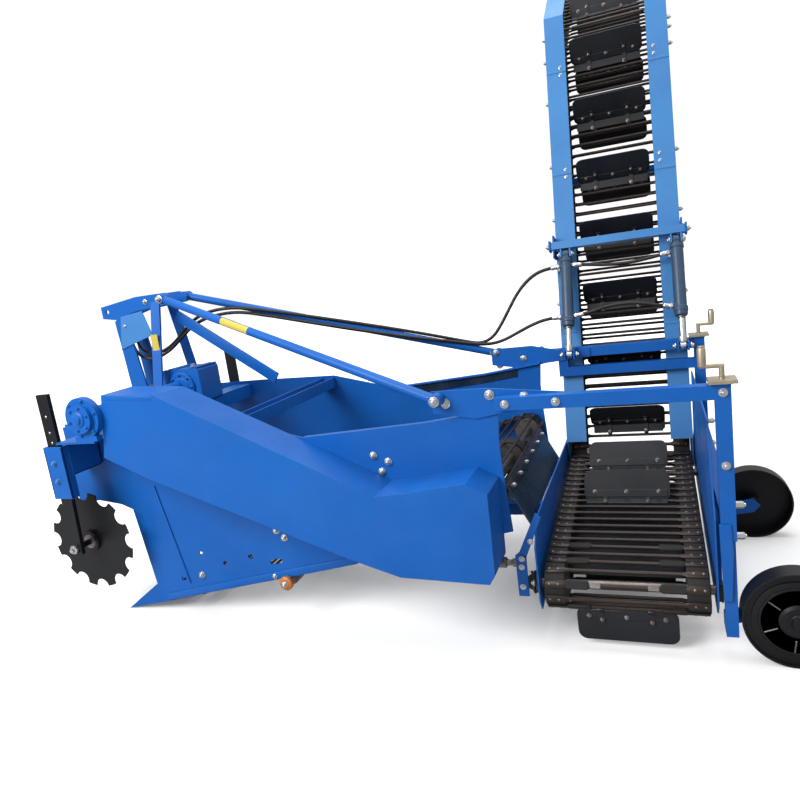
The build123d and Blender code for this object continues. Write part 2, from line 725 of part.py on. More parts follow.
# Clevises for the rods on the far rail, and ears for the barrels on the bar. The linkage is opened at the
# rods' eyes, so each clevis pin stops at the eye's faces.
with BuildPart() as rod_clevises:
    for s, cyl_x, side in cyl_rows:
        x = web_x + cyl_x
        back = box_half + (plate_t if s > 0 else 0)
        for k in (-1, 1):
            with BuildSketch(cross_plane(x + k * ear_gap - ear_t / 2)):
                with BuildLine():
                    Polyline((eye_off - 22, eye_z - 22), (eye_off - 22, eye_z + 22), (back, eye_z + 24),
                             (back, eye_z - 24), close=True)
                make_face()
            extrude(amount=ear_t)
            face = k * (eye_half + roller_gap)
            add(long_round(*sorted((x + face, x + k * 34)), eye_off, eye_z, pin_r))
save("rod_clevises", rod_clevises)
with BuildPart() as elevator_bar:
    add(lift_bar.part)
    for s, cyl_x, side in cyl_rows:
        for k in (-1, 1):
            with BuildSketch(lift_plane.offset(cyl_x + k * ear_gap)):
                with Locations(((pin_u - 16 + bar_u - bar_size / 2) / 2, bar_v)):
                    Rectangle(bar_u - bar_size / 2 - pin_u + 16, 36)
            extrude(amount=ear_t / 2, both=True)
        with BuildSketch(lift_plane.offset(cyl_x)):
            with Locations((pin_u, pin_v)):
                Circle(pin_r)
        extrude(amount=30, both=True)
save("elevator_bar", elevator_bar)

# Hose couplings under their holder on the mast
with BuildPart() as hose_couplings:
    for s, side in sides:
        with BuildSketch(floor_plane(coupling_z)):
            with Locations((coupling_x, s * coupling_off)):
                Circle(coupling_r)
        extrude(amount=-coupling_len)
save("hose_couplings", hose_couplings)

# Hydraulic hoses: routes as places (x, off, z)
hose_d = 18.0
hose_gap = 2.0
hose_end = coupling_z - coupling_len - 1.2


def port_place(row, u, reach):
    """The face of a cylinder's port, reach away from the cylinder's middle."""
    spot = cyl_plane.from_local_coords(Vector(u, 0, 0))
    return (web_x + cyl_rows[row][1] + reach, spot.Y - mid_y, spot.Z)


def hose(name, route):
    """A tube of straight runs joined by arcs as large as the runs allow."""
    points = [place(*p) for p in route]
    radii = []
    for a, b, c in zip(points, points[1:], points[2:]):
        turn = radians((b - a).get_angle(c - b))
        radii.append(0.45 * min((b - a).length, (c - b).length) / tan(turn / 2))
    with BuildPart() as tube_part:
        with BuildLine() as path:
            FilletPolyline(*points, radius=radii)
        with BuildSketch(Plane(origin=path.line @ 0, z_dir=path.line % 0)):
            Circle(hose_d / 2)
        sweep()
    save(name, tube_part)


port_face = barrel_r + port_out + hose_gap
a0 = port_place(0, port_places[0], -port_face)
b0 = port_place(0, port_places[1], -port_face)
hose("hose_feed_top", (
    a0, (728, 676, 1468), (650, 668, 1430), (583, 652, 1362), (532, 632, 1280), (486, 612, 1203), (438, 589, 1137),
    (368, 571, 1108), (268, 542, 1139), (110, 486, 1194), (-100, 409, 1263), (-310, 337, 1327), (-520, 269, 1389),
    (-730, 201, 1448), (-900, 151, 1491), (-1040, 118, 1492), (-1140, 88, 1462), (-1215, 62, 1398),
    (-1290, 42, 1330), (-1382, 30, 1290), (-1468, 24, 1296), (-1523, 21, 1350),
    (coupling_x, coupling_off, hose_end),
))
hose("hose_feed_low", (
    b0, (735, 570, 1209), (655, 576, 1184), (575, 584, 1149), (500, 585, 1116), (432, 574, 1102),
    (355, 540, 1110), (250, 500, 1139), (95, 440, 1178), (-100, 376, 1232), (-310, 312, 1293), (-520, 256, 1356),
    (-730, 200, 1420), (-900, 157, 1467), (-1040, 107, 1462), (-1140, 72, 1430), (-1215, 42, 1368),
    (-1290, 18, 1304), (-1385, 2, 1264), (-1470, -12, 1272), (-1523, -19, 1334),
    (coupling_x, -coupling_off, hose_end),
))
c0 = port_place(0, port_places[0], port_face)
c9 = port_place(1, port_places[0], -port_face)
d0 = port_place(0, port_places[1], port_face)
d9 = port_place(1, port_places[1], -port_face)
hose("hose_cross_top", (c0, (965, 675, 1465), (1060, 670, 1450), (1180, 669, 1447), (1285, 673, 1460), c9))
hose("hose_cross_low", (d0, (960, 566, 1221), (1040, 559, 1243), (1130, 556, 1252), (1215, 559, 1244),
                        (1295, 566, 1222), d9))
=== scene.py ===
import json
import bpy
import numpy as np
from mathutils import Matrix


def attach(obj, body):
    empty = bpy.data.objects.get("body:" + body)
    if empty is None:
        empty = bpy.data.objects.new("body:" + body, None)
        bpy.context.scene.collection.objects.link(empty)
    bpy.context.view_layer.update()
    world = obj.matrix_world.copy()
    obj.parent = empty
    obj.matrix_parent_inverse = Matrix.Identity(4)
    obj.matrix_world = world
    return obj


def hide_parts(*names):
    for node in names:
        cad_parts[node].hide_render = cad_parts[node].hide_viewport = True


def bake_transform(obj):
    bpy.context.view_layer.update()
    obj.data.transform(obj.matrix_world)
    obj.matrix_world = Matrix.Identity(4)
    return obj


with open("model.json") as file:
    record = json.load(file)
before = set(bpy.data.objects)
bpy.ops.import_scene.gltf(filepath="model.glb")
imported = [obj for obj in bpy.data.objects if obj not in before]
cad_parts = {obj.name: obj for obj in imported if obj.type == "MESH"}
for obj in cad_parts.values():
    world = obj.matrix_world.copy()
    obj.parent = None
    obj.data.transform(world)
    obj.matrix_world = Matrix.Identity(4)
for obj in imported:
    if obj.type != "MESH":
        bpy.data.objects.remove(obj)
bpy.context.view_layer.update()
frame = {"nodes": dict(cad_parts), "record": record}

# Drawing sizes are in millimetres: x to the rear, off to the far side of the digging box's middle, z up.
drawing_origin = np.array((-82.6, -504.0, 0.0))
# Directions in the drawing
front_way, rear_way, near_way, far_way, up_way = (-1, 0, 0), (1, 0, 0), (0, -1, 0), (0, 1, 0), (0, 0, 1)
both_sides = ((-1, "near"), (1, "far"))


def at(*spot):
    """Row-frame place in metres of a drawing place: the origin's place is added, then it is divided by 1000."""
    return (np.asarray(spot if len(spot) > 1 else spot[0], float) + drawing_origin) / 1000


def unit(v):
    """The vectors divided by their lengths."""
    return v / np.linalg.norm(v, axis=-1, keepdims=True)


# Shapes: a shape is its points and its groups of faces, in millimetres

def skin(rings, sides, closed=False):
    """Faces between rings of points, each joined to the next; the open ends get one flat face each."""
    i = np.arange(rings if closed else rings - 1)[:, None]
    j = np.arange(sides)[None]
    k, n = (j + 1) % sides, (i + 1) % rings
    quads = np.stack((i * sides + j, i * sides + k, n * sides + k, n * sides + j), -1).reshape(-1, 4)
    if closed:
        return [quads]
    end = np.arange(sides)
    return [quads, end[None, ::-1], end[None] + (rings - 1) * sides]


def turned(profile, sides=24):
    """A turned piece: each pair (height, radius) is a ring round z, at the radius times cosine and sine."""
    h, r = np.array(profile, float).T
    a = np.arange(sides) * 2 * np.pi / sides
    ring = np.stack((np.cos(a), np.sin(a)), -1)[None] * r[:, None, None]
    tall = np.broadcast_to(h[:, None, None], (len(h), sides, 1))
    return np.concatenate((ring, tall), -1).reshape(-1, 3), skin(len(h), sides)


def slab(outline, thickness, edge=1.2):
    """A plate round z = 0: the outline at both faces, drawn in there by edge. A corner is drawn in along the sum
    of its two side normals divided by one plus their product."""
    o = np.array(outline, float)
    o3 = np.roll(o, -1, 0)
    if (o[:, 0] * o3[:, 1] - o3[:, 0] * o[:, 1]).sum() < 0:
        o = o[::-1]
    a, b = unit(o - np.roll(o, 1, 0)), unit(np.roll(o, -1, 0) - o)
    na, nb = np.stack((a[:, 1], -a[:, 0]), -1), np.stack((b[:, 1], -b[:, 0]), -1)
    inner = o - edge * (na + nb) / (1 + (na * nb).sum(-1, keepdims=True))
    rings = np.stack((inner, o, o, inner))
    h = np.array((-1.0, -1.0, 1.0, 1.0)) * thickness / 2 + np.array((0, 1, -1, 0)) * edge
    tall = np.broadcast_to(h[:, None, None], (4, len(o), 1))
    return np.concatenate((rings, tall), -1).reshape(-1, 3), skin(4, len(o))


def carried(path, section, beside, closed=False, size=None):
    """A section carried along a path: its point (a, b) goes to the path's place plus a times the direction
    beside the path plus b times the one square to both, times the size there."""
    path, section = np.asarray(path, float), np.asarray(section, float)
    if closed:
        ahead = unit(np.roll(path, -1, 0) - np.roll(path, 1, 0))
    else:
        ahead = unit(np.gradient(path, axis=0))
    beside = np.broadcast_to(np.asarray(beside, float), path.shape)
    a = unit(beside - (beside * ahead).sum(-1, keepdims=True) * ahead)
    b = np.cross(ahead, a)
    section = np.broadcast_to(section, (len(path),) + section.shape[-2:])
    if size is not None:
        section = section * np.asarray(size, float)[:, None, None]
    p = path[:, None] + section[..., :1] * a[:, None] + section[..., 1:] * b[:, None]
    return p.reshape(-1, 3), skin(len(path), section.shape[1], closed)


def rounded(width, height, r, steps=5):
    """Rectangle with round corners: quarter circles of radius r about the four inner corners."""
    a = np.linspace(0, np.pi / 2, steps)
    turns = np.concatenate([a + k * np.pi / 2 for k in range(4)])
    sx = np.repeat((1, -1, -1, 1), steps)
    sy = np.repeat((1, 1, -1, -1), steps)
    return np.stack((sx * (width / 2 - r) + r * np.cos(turns), sy * (height / 2 - r) + r * np.sin(turns)), -1)


def plate(width, height, r, steps, thickness, edge):
    """A slab with the outline of a rectangle with round corners."""
    return slab(rounded(width, height, r, steps), thickness, edge)


def circle(r, sides):
    """Points at radius r, evenly round."""
    a = np.arange(sides) * 2 * np.pi / sides
    return r * np.stack((np.cos(a), np.sin(a)), -1)


def on_side(y, *pairs):
    """Places at one distance to the side, from pairs of x and z."""
    return [(x, y, z) for x, z in pairs]


def round_spots(centre, r, count, first=0.0, plane=(0, 2)):
    """Places evenly round a centre, the first at an angle in degrees: r times cosine and sine are added to the
    two coordinates of the plane."""
    a = np.radians(np.arange(count) * 360 / count + first)
    spots = np.tile(np.asarray(centre, float), (count, 1))
    spots[:, plane[0]] += r * np.cos(a)
    spots[:, plane[1]] += r * np.sin(a)
    return spots


def stands(along, across):
    """Turns for pieces drawn upright: z goes along, x goes across made square to it, y is z cross x."""
    z, x = np.broadcast_arrays(np.atleast_2d(np.asarray(along, float)), np.atleast_2d(np.asarray(across, float)))
    z = unit(z)
    lined = np.abs((unit(x) * z).sum(-1, keepdims=True)) > 0.99
    x = np.where(lined, np.array((0.3, 1.0, 0.2)), x)
    x = unit(x - (x * z).sum(-1, keepdims=True) * z)
    return np.stack((x, np.cross(z, x), z), -1)


def copies(shape, places, along=up_way, across=rear_way):
    """The shape once at each place: the place plus the turned point."""
    p, groups = shape
    places = np.atleast_2d(np.asarray(places, float))
    turn = np.broadcast_to(stands(along, across), (len(places), 3, 3))
    q = places[:, None] + np.einsum("nij,mj->nmi", turn, p)
    step = (len(p) * np.arange(len(places)))[:, None, None]
    return q.reshape(-1, 3), [(g[None] + step).reshape(-1, g.shape[1]) for g in groups]


def joined(*shapes):
    """Several shapes as one: the face numbers go up by the points that come before."""
    points, faces, count = [], [], 0
    for p, groups in shapes:
        points.append(p)
        faces += [g + count for g in groups]
        count += len(p)
    return np.concatenate(points), faces


def bar(a, b, width, height, beside, r=3.0):
    """A straight bar from a to b: a rounded rectangle carried along, a little smaller at both ends."""
    a, b = np.asarray(a, float), np.asarray(b, float)
    run = np.linalg.norm(b - a)
    chamfer = 1.5
    steps = np.array((0, chamfer, run - chamfer, run)) / run
    path = a + (b - a) * steps[:, None]
    shrink = 1 - 2 * chamfer / max(width, height)
    section = rounded(width, height, min(r, width / 2.2, height / 2.2), 4)
    return carried(path, section, beside, size=(shrink, 1, 1, shrink))


def piece(name, shape, finish, body="frame", sharp=32):
    """A mesh of the shape, moved from the drawing to the row frame, with faces outwards: where the sum over the
    faces of first corner dot (second cross third) is negative, every face is turned over. It rides on body, and
    edges steeper than sharp degrees are shown sharp."""
    points, groups = shape
    points = (points + drawing_origin) / 1000
    tris = np.concatenate([np.stack((np.repeat(g[:, 0], g.shape[1] - 2), g[:, 1:-1].ravel(), g[:, 2:].ravel()), -1)
                           for g in groups])
    c = points - points.mean(0)
    if np.einsum("ni,ni->", c[tris[:, 0]], np.cross(c[tris[:, 1]], c[tris[:, 2]])) < 0:
        groups = [g[:, ::-1] for g in groups]
    mesh = bpy.data.meshes.new(name)
    corners = np.concatenate([g.ravel() for g in groups]).astype(np.int32)
    sizes = np.concatenate([np.full(len(g), g.shape[1]) for g in groups])
    mesh.vertices.add(len(points))
    mesh.vertices.foreach_set("co", points.astype(np.float32).ravel())
    mesh.loops.add(len(corners))
    mesh.loops.foreach_set("vertex_index", corners)
    mesh.polygons.add(len(sizes))
    mesh.polygons.foreach_set("loop_start", np.concatenate(((0,), np.cumsum(sizes)[:-1])).astype(np.int32))
    mesh.update(calc_edges=True)
    mesh.validate()
    mesh.shade_smooth()
    mesh.set_sharp_from_angle(angle=np.radians(sharp))
    mesh.materials.append(finish[0])
    made = bpy.data.objects.new(name, mesh)
    bpy.context.collection.objects.link(made)
    if body:
        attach(made, body)
    return made


# Camera, where the photograph was taken from
camera_data = bpy.data.cameras.new("photo_camera")
camera_data.lens = 29.4
camera_data.sensor_width = 36.0
camera = bpy.data.objects.new("photo_camera", camera_data)
camera_right = (0.92812, 0.34721, -0.13430)
camera_up = (0.05652, 0.22515, 0.97268)
camera_back = (0.36796, -0.91036, 0.18934)
camera_place = (1.19085, -3.48813, 1.55492)
camera.matrix_world = Matrix([[camera_right[i], camera_up[i], camera_back[i], camera_place[i]] for i in range(3)]
                             + [[0, 0, 0, 1]])
bpy.context.collection.objects.link(camera)
bpy.context.scene.camera = camera


# Shader helpers

def put(tree, kind, sockets=None, **settings):
    """A new shader node with its settings; a socket given as a value is linked, anything else is set."""
    made = tree.nodes.new("ShaderNode" + kind)
    for key, value in settings.items():
        setattr(made, key, value)
    for key, value in (sockets or {}).items():
        if isinstance(value, bpy.types.NodeSocket):
            tree.links.new(value, made.inputs[key])
        else:
            made.inputs[key].default_value = value
    return made


def group_tree(name, inputs, outputs):
    """An empty shader node group with named sockets."""
    tree = bpy.data.node_groups.new(name, "ShaderNodeTree")
    kinds = {"f": "NodeSocketFloat", "v": "NodeSocketVector"}
    for label, kind in inputs:
        tree.interface.new_socket(label, in_out="INPUT", socket_type=kinds[kind])
    for label, kind in outputs:
        tree.interface.new_socket(label, in_out="OUTPUT", socket_type=kinds[kind])
    return tree, tree.nodes.new("NodeGroupInput").outputs, tree.nodes.new("NodeGroupOutput")


def sums(tree, operation, a, b):
    """One sum on two values, kept between 0 and 1 unless it is a difference."""
    clamp = operation != "SUBTRACT"
    return put(tree, "Math", {0: a, 1: b}, operation=operation, use_clamp=clamp).outputs[0]


def object_spot(tree):
    """The place on the piece."""
    return put(tree, "TexCoord").outputs["Object"]


def noise(tree, spot, scale, detail, roughness=0.5):
    """Clouds at the spot, scale of them to a metre."""
    sockets = {"Vector": spot, "Scale": scale, "Detail": detail, "Roughness": roughness}
    return put(tree, "TexNoise", sockets).outputs[0]


def spread(tree, value, low, high, to_low=0.0, to_high=1.0):
    """The value, with its run from low to high spread over to_low to to_high."""
    sockets = {"Value": value, "From Min": low, "From Max": high, "To Min": to_low, "To Max": to_high}
    return put(tree, "MapRange", sockets).outputs[0]


def mixed(tree, share, a, b):
    """A colour between two, each of them three values or a socket."""
    a, b = (v if isinstance(v, bpy.types.NodeSocket) else (*v, 1) for v in (a, b))
    return put(tree, "Mix", {"Factor": share, 6: a, 7: b}, data_type="RGBA").outputs[2]


# Edge wear: rounded normals differ from the flat ones along sharp edges, broken up by noise
tree, given, out = group_tree("edge_wear", (("Width", "f"), ("Amount", "f")), (("Worn", "f"), ("Normal", "v")))
edge_wear = tree
round_edge = put(tree, "Bevel", {"Radius": given["Width"]}, samples=4).outputs[0]
flat = put(tree, "NewGeometry").outputs["Normal"]
same = put(tree, "VectorMath", {0: round_edge, 1: flat}, operation="DOT_PRODUCT").outputs["Value"]
wear_gain = 9.0
bent = sums(tree, "MULTIPLY", sums(tree, "SUBTRACT", 1.0, same), wear_gain)
patchy = spread(tree, noise(tree, object_spot(tree), 34.0, 6.0, 0.7), 0.48, 0.66)
worn = sums(tree, "MULTIPLY", bent, patchy)
tree.links.new(sums(tree, "MULTIPLY", worn, given["Amount"]), out.inputs["Worn"])
tree.links.new(round_edge, out.inputs["Normal"])

# Settled dust: more on faces that look up and near the ground, in clouds and specks
tree, given, out = group_tree("settled_dust", (("Amount", "f"), ("Reach", "f")), (("Dust", "f"),))
settled_dust = tree
spot = object_spot(tree)
facing = put(tree, "NewGeometry").outputs["Normal"]
up_part, height = (put(tree, "SeparateXYZ", {0: v}).outputs["Z"] for v in (facing, spot))
low = spread(tree, height, 0.0, given["Reach"], 1.0, 0.3)
lies = spread(tree, up_part, -0.4, 0.9, 0.25)
cloudy = spread(tree, noise(tree, spot, 5.0, 8.0, 0.62), 0.42, 0.72)
specky = spread(tree, noise(tree, spot, 160.0, 3.0), 0.35, 0.7, 0.5)
dust = sums(tree, "MULTIPLY", sums(tree, "MULTIPLY", low, lies), sums(tree, "MULTIPLY", cloudy, specky))
tree.links.new(sums(tree, "MULTIPLY", dust, given["Amount"]), out.inputs["Dust"])

# Skin: the fine unevenness of a surface, as a bump on top of a normal
tree, given, out = group_tree("fine_skin", (("Grain", "f"), ("Depth", "f"), ("Normal", "v")), (("Normal", "v"),))
fine_skin = tree
grain = noise(tree, object_spot(tree), given["Grain"], 4.0, 0.6)
bump_height = 0.001
raised = {"Height": grain, "Strength": given["Depth"], "Distance": bump_height, "Normal": given["Normal"]}
tree.links.new(put(tree, "Bump", raised).outputs[0], out.inputs["Normal"])

dust_reach = 1.4    # metres above the ground where dust has thinned out


def finish(name, slot, colour, deeper, rough, metal=0.0, wear=0.0, worn_colour=(0.2, 0.19, 0.18), edge=0.002,
           dust=0.2, dust_colour=(0.42, 0.38, 0.33), mottle=3.0, grain=300.0, depth=0.15, streak=None, shine=0.5):
    """A surface finish: two tones mixed by noise, worn edges, dust on top, uneven gloss and a fine skin.
    Roughness runs between the two values of rough; streak scales the tone noise per axis for drawn steel."""
    material = bpy.data.materials.new(name)
    material.use_nodes = True
    tree = material.node_tree
    spot = object_spot(tree)
    if streak:
        spot = put(tree, "Mapping", {"Vector": spot, "Scale": streak}).outputs[0]
    share = spread(tree, noise(tree, spot, mottle, 7.0, 0.6), 0.3, 0.7)
    edges = put(tree, "Group", {"Width": edge, "Amount": wear}, node_tree=edge_wear)
    dusted = put(tree, "Group", {"Amount": dust, "Reach": dust_reach}, node_tree=settled_dust).outputs[0]
    fine = {"Grain": grain, "Depth": depth, "Normal": edges.outputs["Normal"]}
    tone = mixed(tree, edges.outputs["Worn"], mixed(tree, share, colour, deeper), worn_colour)
    gloss = spread(tree, share, 0.0, 1.0, *rough)
    shader = tree.nodes["Principled BSDF"].inputs
    for label, value in (("Base Color", mixed(tree, dusted, tone, dust_colour)),
                         ("Normal", put(tree, "Group", fine, node_tree=fine_skin).outputs[0]),
                         ("Roughness", sums(tree, "ADD", gloss, sums(tree, "MULTIPLY", dusted, 0.5)))):
        tree.links.new(value, shader[label])
    shader["Metallic"].default_value = metal
    shader["Specular IOR Level"].default_value = shine
    return material, slot


blue_paint = finish("blue_paint", "blue_paint", (0.0035, 0.094, 0.380), (0.0025, 0.078, 0.325), (0.30, 0.48),
                    shine=0.22, wear=0.35, worn_colour=(0.05, 0.22, 0.50), dust=0.14, dust_colour=(0.16, 0.24, 0.36),
                    depth=0.10, grain=260)
# A paler copy of the blue paint: painted sky sheen, standing in for the light that faces tilted upwards catch
sky_sheen_blue_paint = finish("sky_sheen_blue_paint", "blue_paint", (0.040, 0.185, 0.430), (0.030, 0.150, 0.380), (0.35, 0.5),
                         shine=0.3, wear=0.35, worn_colour=(0.10, 0.30, 0.55), dust=0.12, depth=0.10, grain=260)
black_paint = finish("black_paint", "black_paint", (0.0035, 0.0040, 0.0060), (0.0060, 0.0065, 0.0085), (0.30, 0.45),
                     shine=0.25, wear=0.5, worn_colour=(0.06, 0.055, 0.05), dust=0.12, dust_colour=(0.06, 0.055, 0.05),
                     grain=220, depth=0.25)
belt_rubber = finish("belt_rubber", "web_black", (0.009, 0.009, 0.010), (0.016, 0.015, 0.014), (0.55, 0.75), shine=0.25,
                     wear=0.3, worn_colour=(0.04, 0.035, 0.03), dust_colour=(0.07, 0.055, 0.045), grain=900, depth=0.35,
                     mottle=14)
rod_steel = finish("rod_steel", "web_black", (0.010, 0.009, 0.009), (0.032, 0.018, 0.012), (0.34, 0.54), metal=0.3,
                   shine=0.45, wear=0.3, worn_colour=(0.12, 0.10, 0.09), dust_colour=(0.10, 0.05, 0.03), grain=500,
                   depth=0.3, mottle=6)
flight_steel = finish("flight_steel", "web_black", (0.0065, 0.0075, 0.0105), (0.012, 0.013, 0.017), (0.26, 0.42),
                      shine=0.35, wear=0.5, worn_colour=(0.08, 0.07, 0.06), dust=0.12, dust_colour=(0.08, 0.075, 0.07),
                      grain=240, depth=0.2)
zinc_plate = finish("zinc_plate", "zinc", (0.62, 0.63, 0.63), (0.40, 0.41, 0.42), (0.22, 0.40), metal=0.95, dust=0.15,
                    wear=0.2, grain=600, depth=0.2, mottle=40, edge=0.0008)
yellow_zinc = finish("yellow_zinc", "zinc", (0.50, 0.45, 0.34), (0.34, 0.28, 0.20), (0.30, 0.46), metal=0.8,
                     wear=0.3, grain=500, depth=0.25, mottle=30)
drawn_steel = finish("drawn_steel", "bare_steel", (0.26, 0.25, 0.25), (0.13, 0.10, 0.08), (0.30, 0.50), metal=0.85,
                     wear=0.2, grain=500, depth=0.25, mottle=12, streak=(1, 1, 6))
bright_chrome = finish("bright_chrome", "hard_chrome", (0.72, 0.73, 0.74), (0.58, 0.59, 0.61), (0.06, 0.14), metal=1.0,
                       dust=0.08, grain=120, depth=0.03, mottle=20)
grey_enamel = finish("grey_enamel", "cylinder_paint", (0.030, 0.062, 0.112), (0.022, 0.048, 0.092), (0.28, 0.42),
                     shine=0.35, wear=0.5, worn_colour=(0.14, 0.17, 0.21), dust=0.15, grain=240)
cast_iron = finish("cast_iron", "cast_housing", (0.050, 0.056, 0.044), (0.024, 0.028, 0.022), (0.45, 0.65), metal=0.3,
                   dust=0.3, wear=0.4, grain=420, depth=0.8, mottle=20)
flap_rubber = finish("flap_rubber", "flap_rubber", (0.0045, 0.013, 0.032), (0.014, 0.027, 0.048), (0.20, 0.38),
                     dust=0.18, dust_colour=(0.10, 0.12, 0.14), grain=60, depth=0.6, mottle=5)
hose_rubber = finish("hose_rubber", "hose_rubber", (0.006, 0.006, 0.007), (0.012, 0.011, 0.011), (0.34, 0.5), shine=0.3,
                     dust=0.15, grain=1400, depth=0.5, mottle=30)
yellow_plate = finish("yellow_plate", None, (0.52, 0.40, 0.06), (0.46, 0.36, 0.07), (0.25, 0.4), wear=0.5,
                      worn_colour=(0.40, 0.36, 0.25), edge=0.0008)
orange_plastic = finish("orange_plastic", None, (0.50, 0.15, 0.012), (0.40, 0.11, 0.010), (0.35, 0.5),
                        grain=400, depth=0.3, mottle=12)

# Finishes of the pieces that come from the part's own solids
by_slot = {slot: material for material, slot in
           (blue_paint, black_paint, belt_rubber, grey_enamel, drawn_steel, bright_chrome, cast_iron, flap_rubber,
            hose_rubber, yellow_zinc)}
# The elevator's walls and bar take the paler blue copy: painted sky sheen on their upward-tilted faces
sky_sheen_nodes = ("elevator_front_wall", "elevator_rear_wall", "elevator_bar")
node_slot = {item["node"]: item["material_slot"] for item in frame["record"]["subparts"]}
for node_name, solid in frame["nodes"].items():
    coat = sky_sheen_blue_paint[0] if node_name in sky_sheen_nodes else by_slot[node_slot[node_name]]
    if not solid.data.materials:
        solid.data.materials.append(coat)
    for i in range(len(solid.data.materials)):
        solid.data.materials[i] = coat

# Hydraulic hoses: smooth lines that follow the route's points, which are those of the part's tubes
hose_d = 18.0
cylinder_x = {"front": 852.0, "rear": 1400.0}
top_pin = np.array((697.798, 1531.758))
rod_eye = np.array((490.0, 1018.0))
cylinder_run = unit(rod_eye - top_pin)
port_face = 47.0
port_places = (65.0, 345.0)
coupling = np.array((-1530.0, 20.0, 1423.8))


def port(side, place, way):
    """The face of a cylinder's port: place along the cylinder from its top pin, port_face beside it."""
    off, z = top_pin + cylinder_run * place
    return (cylinder_x[side] + way * port_face, off, z)


feed_top = (
    port("front", port_places[0], -1), (728, 676, 1468), (650, 668, 1430), (583, 652, 1362), (532, 632, 1280),
    (486, 612, 1203), (438, 589, 1137), (368, 571, 1108), (268, 542, 1139), (110, 486, 1194), (-100, 409, 1263),
    (-310, 337, 1327), (-520, 269, 1389), (-730, 201, 1448), (-900, 151, 1491), (-1040, 118, 1492),
    (-1140, 88, 1462), (-1215, 62, 1398), (-1290, 42, 1330), (-1382, 30, 1290), (-1468, 24, 1296),
    (-1523, 21, 1350), tuple(coupling),
)
feed_low = (
    port("front", port_places[1], -1), (735, 570, 1209), (655, 576, 1184), (575, 584, 1149), (500, 585, 1116),
    (432, 574, 1102), (355, 540, 1110), (250, 500, 1139), (95, 440, 1178), (-100, 376, 1232), (-310, 312, 1293),
    (-520, 256, 1356), (-730, 200, 1420), (-900, 157, 1467), (-1040, 107, 1462), (-1140, 72, 1430),
    (-1215, 42, 1368), (-1290, 18, 1304), (-1385, 2, 1264), (-1470, -12, 1272), (-1523, -19, 1334),
    tuple(coupling * (1, -1, 1)),
)
cross_top = (port("front", port_places[0], 1), (965, 675, 1465), (1060, 670, 1450), (1180, 669, 1447),
             (1285, 673, 1460), port("rear", port_places[0], -1))
cross_low = (port("front", port_places[1], 1), (960, 566, 1221), (1040, 559, 1243), (1130, 556, 1252),
             (1215, 559, 1244), (1295, 566, 1222), port("rear", port_places[1], -1))


def smooth_line(name, route):
    """The smooth line of a route, as an ordered list of places read from its NURBS curve."""
    curve = bpy.data.curves.new(name, "CURVE")
    curve.dimensions = "3D"
    curve.resolution_u = 10
    spline = curve.splines.new("NURBS")
    spline.points.add(len(route) - 1)
    for point, place in zip(spline.points, route):
        point.co = (*at(place), 1.0)
    spline.order_u = 3
    spline.use_endpoint_u = True
    holder = bpy.data.objects.new(name, curve)
    bpy.context.collection.objects.link(holder)
    bpy.context.view_layer.update()
    drawn = bpy.data.meshes.new_from_object(holder.evaluated_get(bpy.context.evaluated_depsgraph_get()))
    line = np.empty(len(drawn.vertices) * 3, np.float32)
    drawn.vertices.foreach_get("co", line)
    bpy.data.objects.remove(holder)
    bpy.data.curves.remove(curve)
    bpy.data.meshes.remove(drawn)
    line = line.reshape(-1, 3).astype(float)
    if np.linalg.norm(line[0] - at(route[0])) > np.linalg.norm(line[-1] - at(route[0])):
        line = line[::-1]
    return line * 1000 - drawing_origin


crimps = [(height, r) for top in range(9, 25, 5) for height, r in ((top, 12.6), (top + 2, 13))]
ferrule = turned([(0, 9.5), (0, 13), (4, 14), (6, 13), *crimps, (30, 13), (34, 10.5), (35, 9.4)], 20)
hose_end = joined(ferrule, turned([(-9, 10), (-8, 15), (0, 15.5), (1, 12)], 6))
long_run = 900.0    # a hose that runs further than this along the machine has its section squared to the side


def hose(name, node, route, end_bodies, body=None, fold=None):
    """A hose: a round section carried along its smooth line, with a crimped steel ferrule at both ends. It rides
    on a body if one is given; where fold is given, its place is baked into its mesh."""
    line = smooth_line(name, route)
    beside = far_way if abs(line[-1][0] - line[0][0]) > long_run else (0, 0.3, 1)
    made = piece(name, carried(line, circle(hose_d / 2, 14), beside), hose_rubber, body)
    ends = [piece(f"{name}_ferrule_{k + 1}", copies(hose_end, line[end], line[ahead] - line[end]), zinc_plate, rider)
            for k, (end, ahead, rider) in enumerate(zip((0, -1), (3, -4), end_bodies))]
    if fold:
        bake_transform(made)
    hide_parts(node)


feed_ends, bridge_ends = ("front_barrel", "frame"), ("front_barrel", "rear_barrel")
hose("hose_top_feed", "hose_feed_top", feed_top, feed_ends, fold=((440, 590, 1140), (790, 676, 1470)))
hose("hose_low_feed", "hose_feed_low", feed_low, feed_ends, fold=((430, 572, 1100), (790, 582, 1206)))
hose("hose_top_bridge", "hose_cross_top", cross_top, bridge_ends, "front_barrel")
hose("hose_low_bridge", "hose_cross_low", cross_low, bridge_ends, "front_barrel")


# Fasteners

def hex_bolt(r, tall=None):
    """A bolt head on its washer, seen from outside: a round washer, a six-sided head with a chamfered top and
    the domed end of the thread."""
    tall = tall or r * 0.75
    return joined(turned([(0, r * 1.25), (r * 0.14, r * 1.25), (r * 0.16, r * 1.2)], 20),
                  turned([(r * 0.15, r * 0.96), (r * 0.15 + tall * 0.8, r), (r * 0.15 + tall, r * 0.82)], 6),
                  turned([(r * 0.15 + tall, r * 0.5), (r * 0.15 + tall + r * 0.35, r * 0.5),
                          (r * 0.15 + tall + r * 0.45, r * 0.36)], 12))


def bolts(name, places, way, r, body="frame", coat=zinc_plate, tall=None):
    """Hexagon bolts at several places, all facing one way."""
    piece(name, copies(hex_bolt(r, tall), places, way), coat, body)


# Webs: belts carried round a closed path, with rods across them

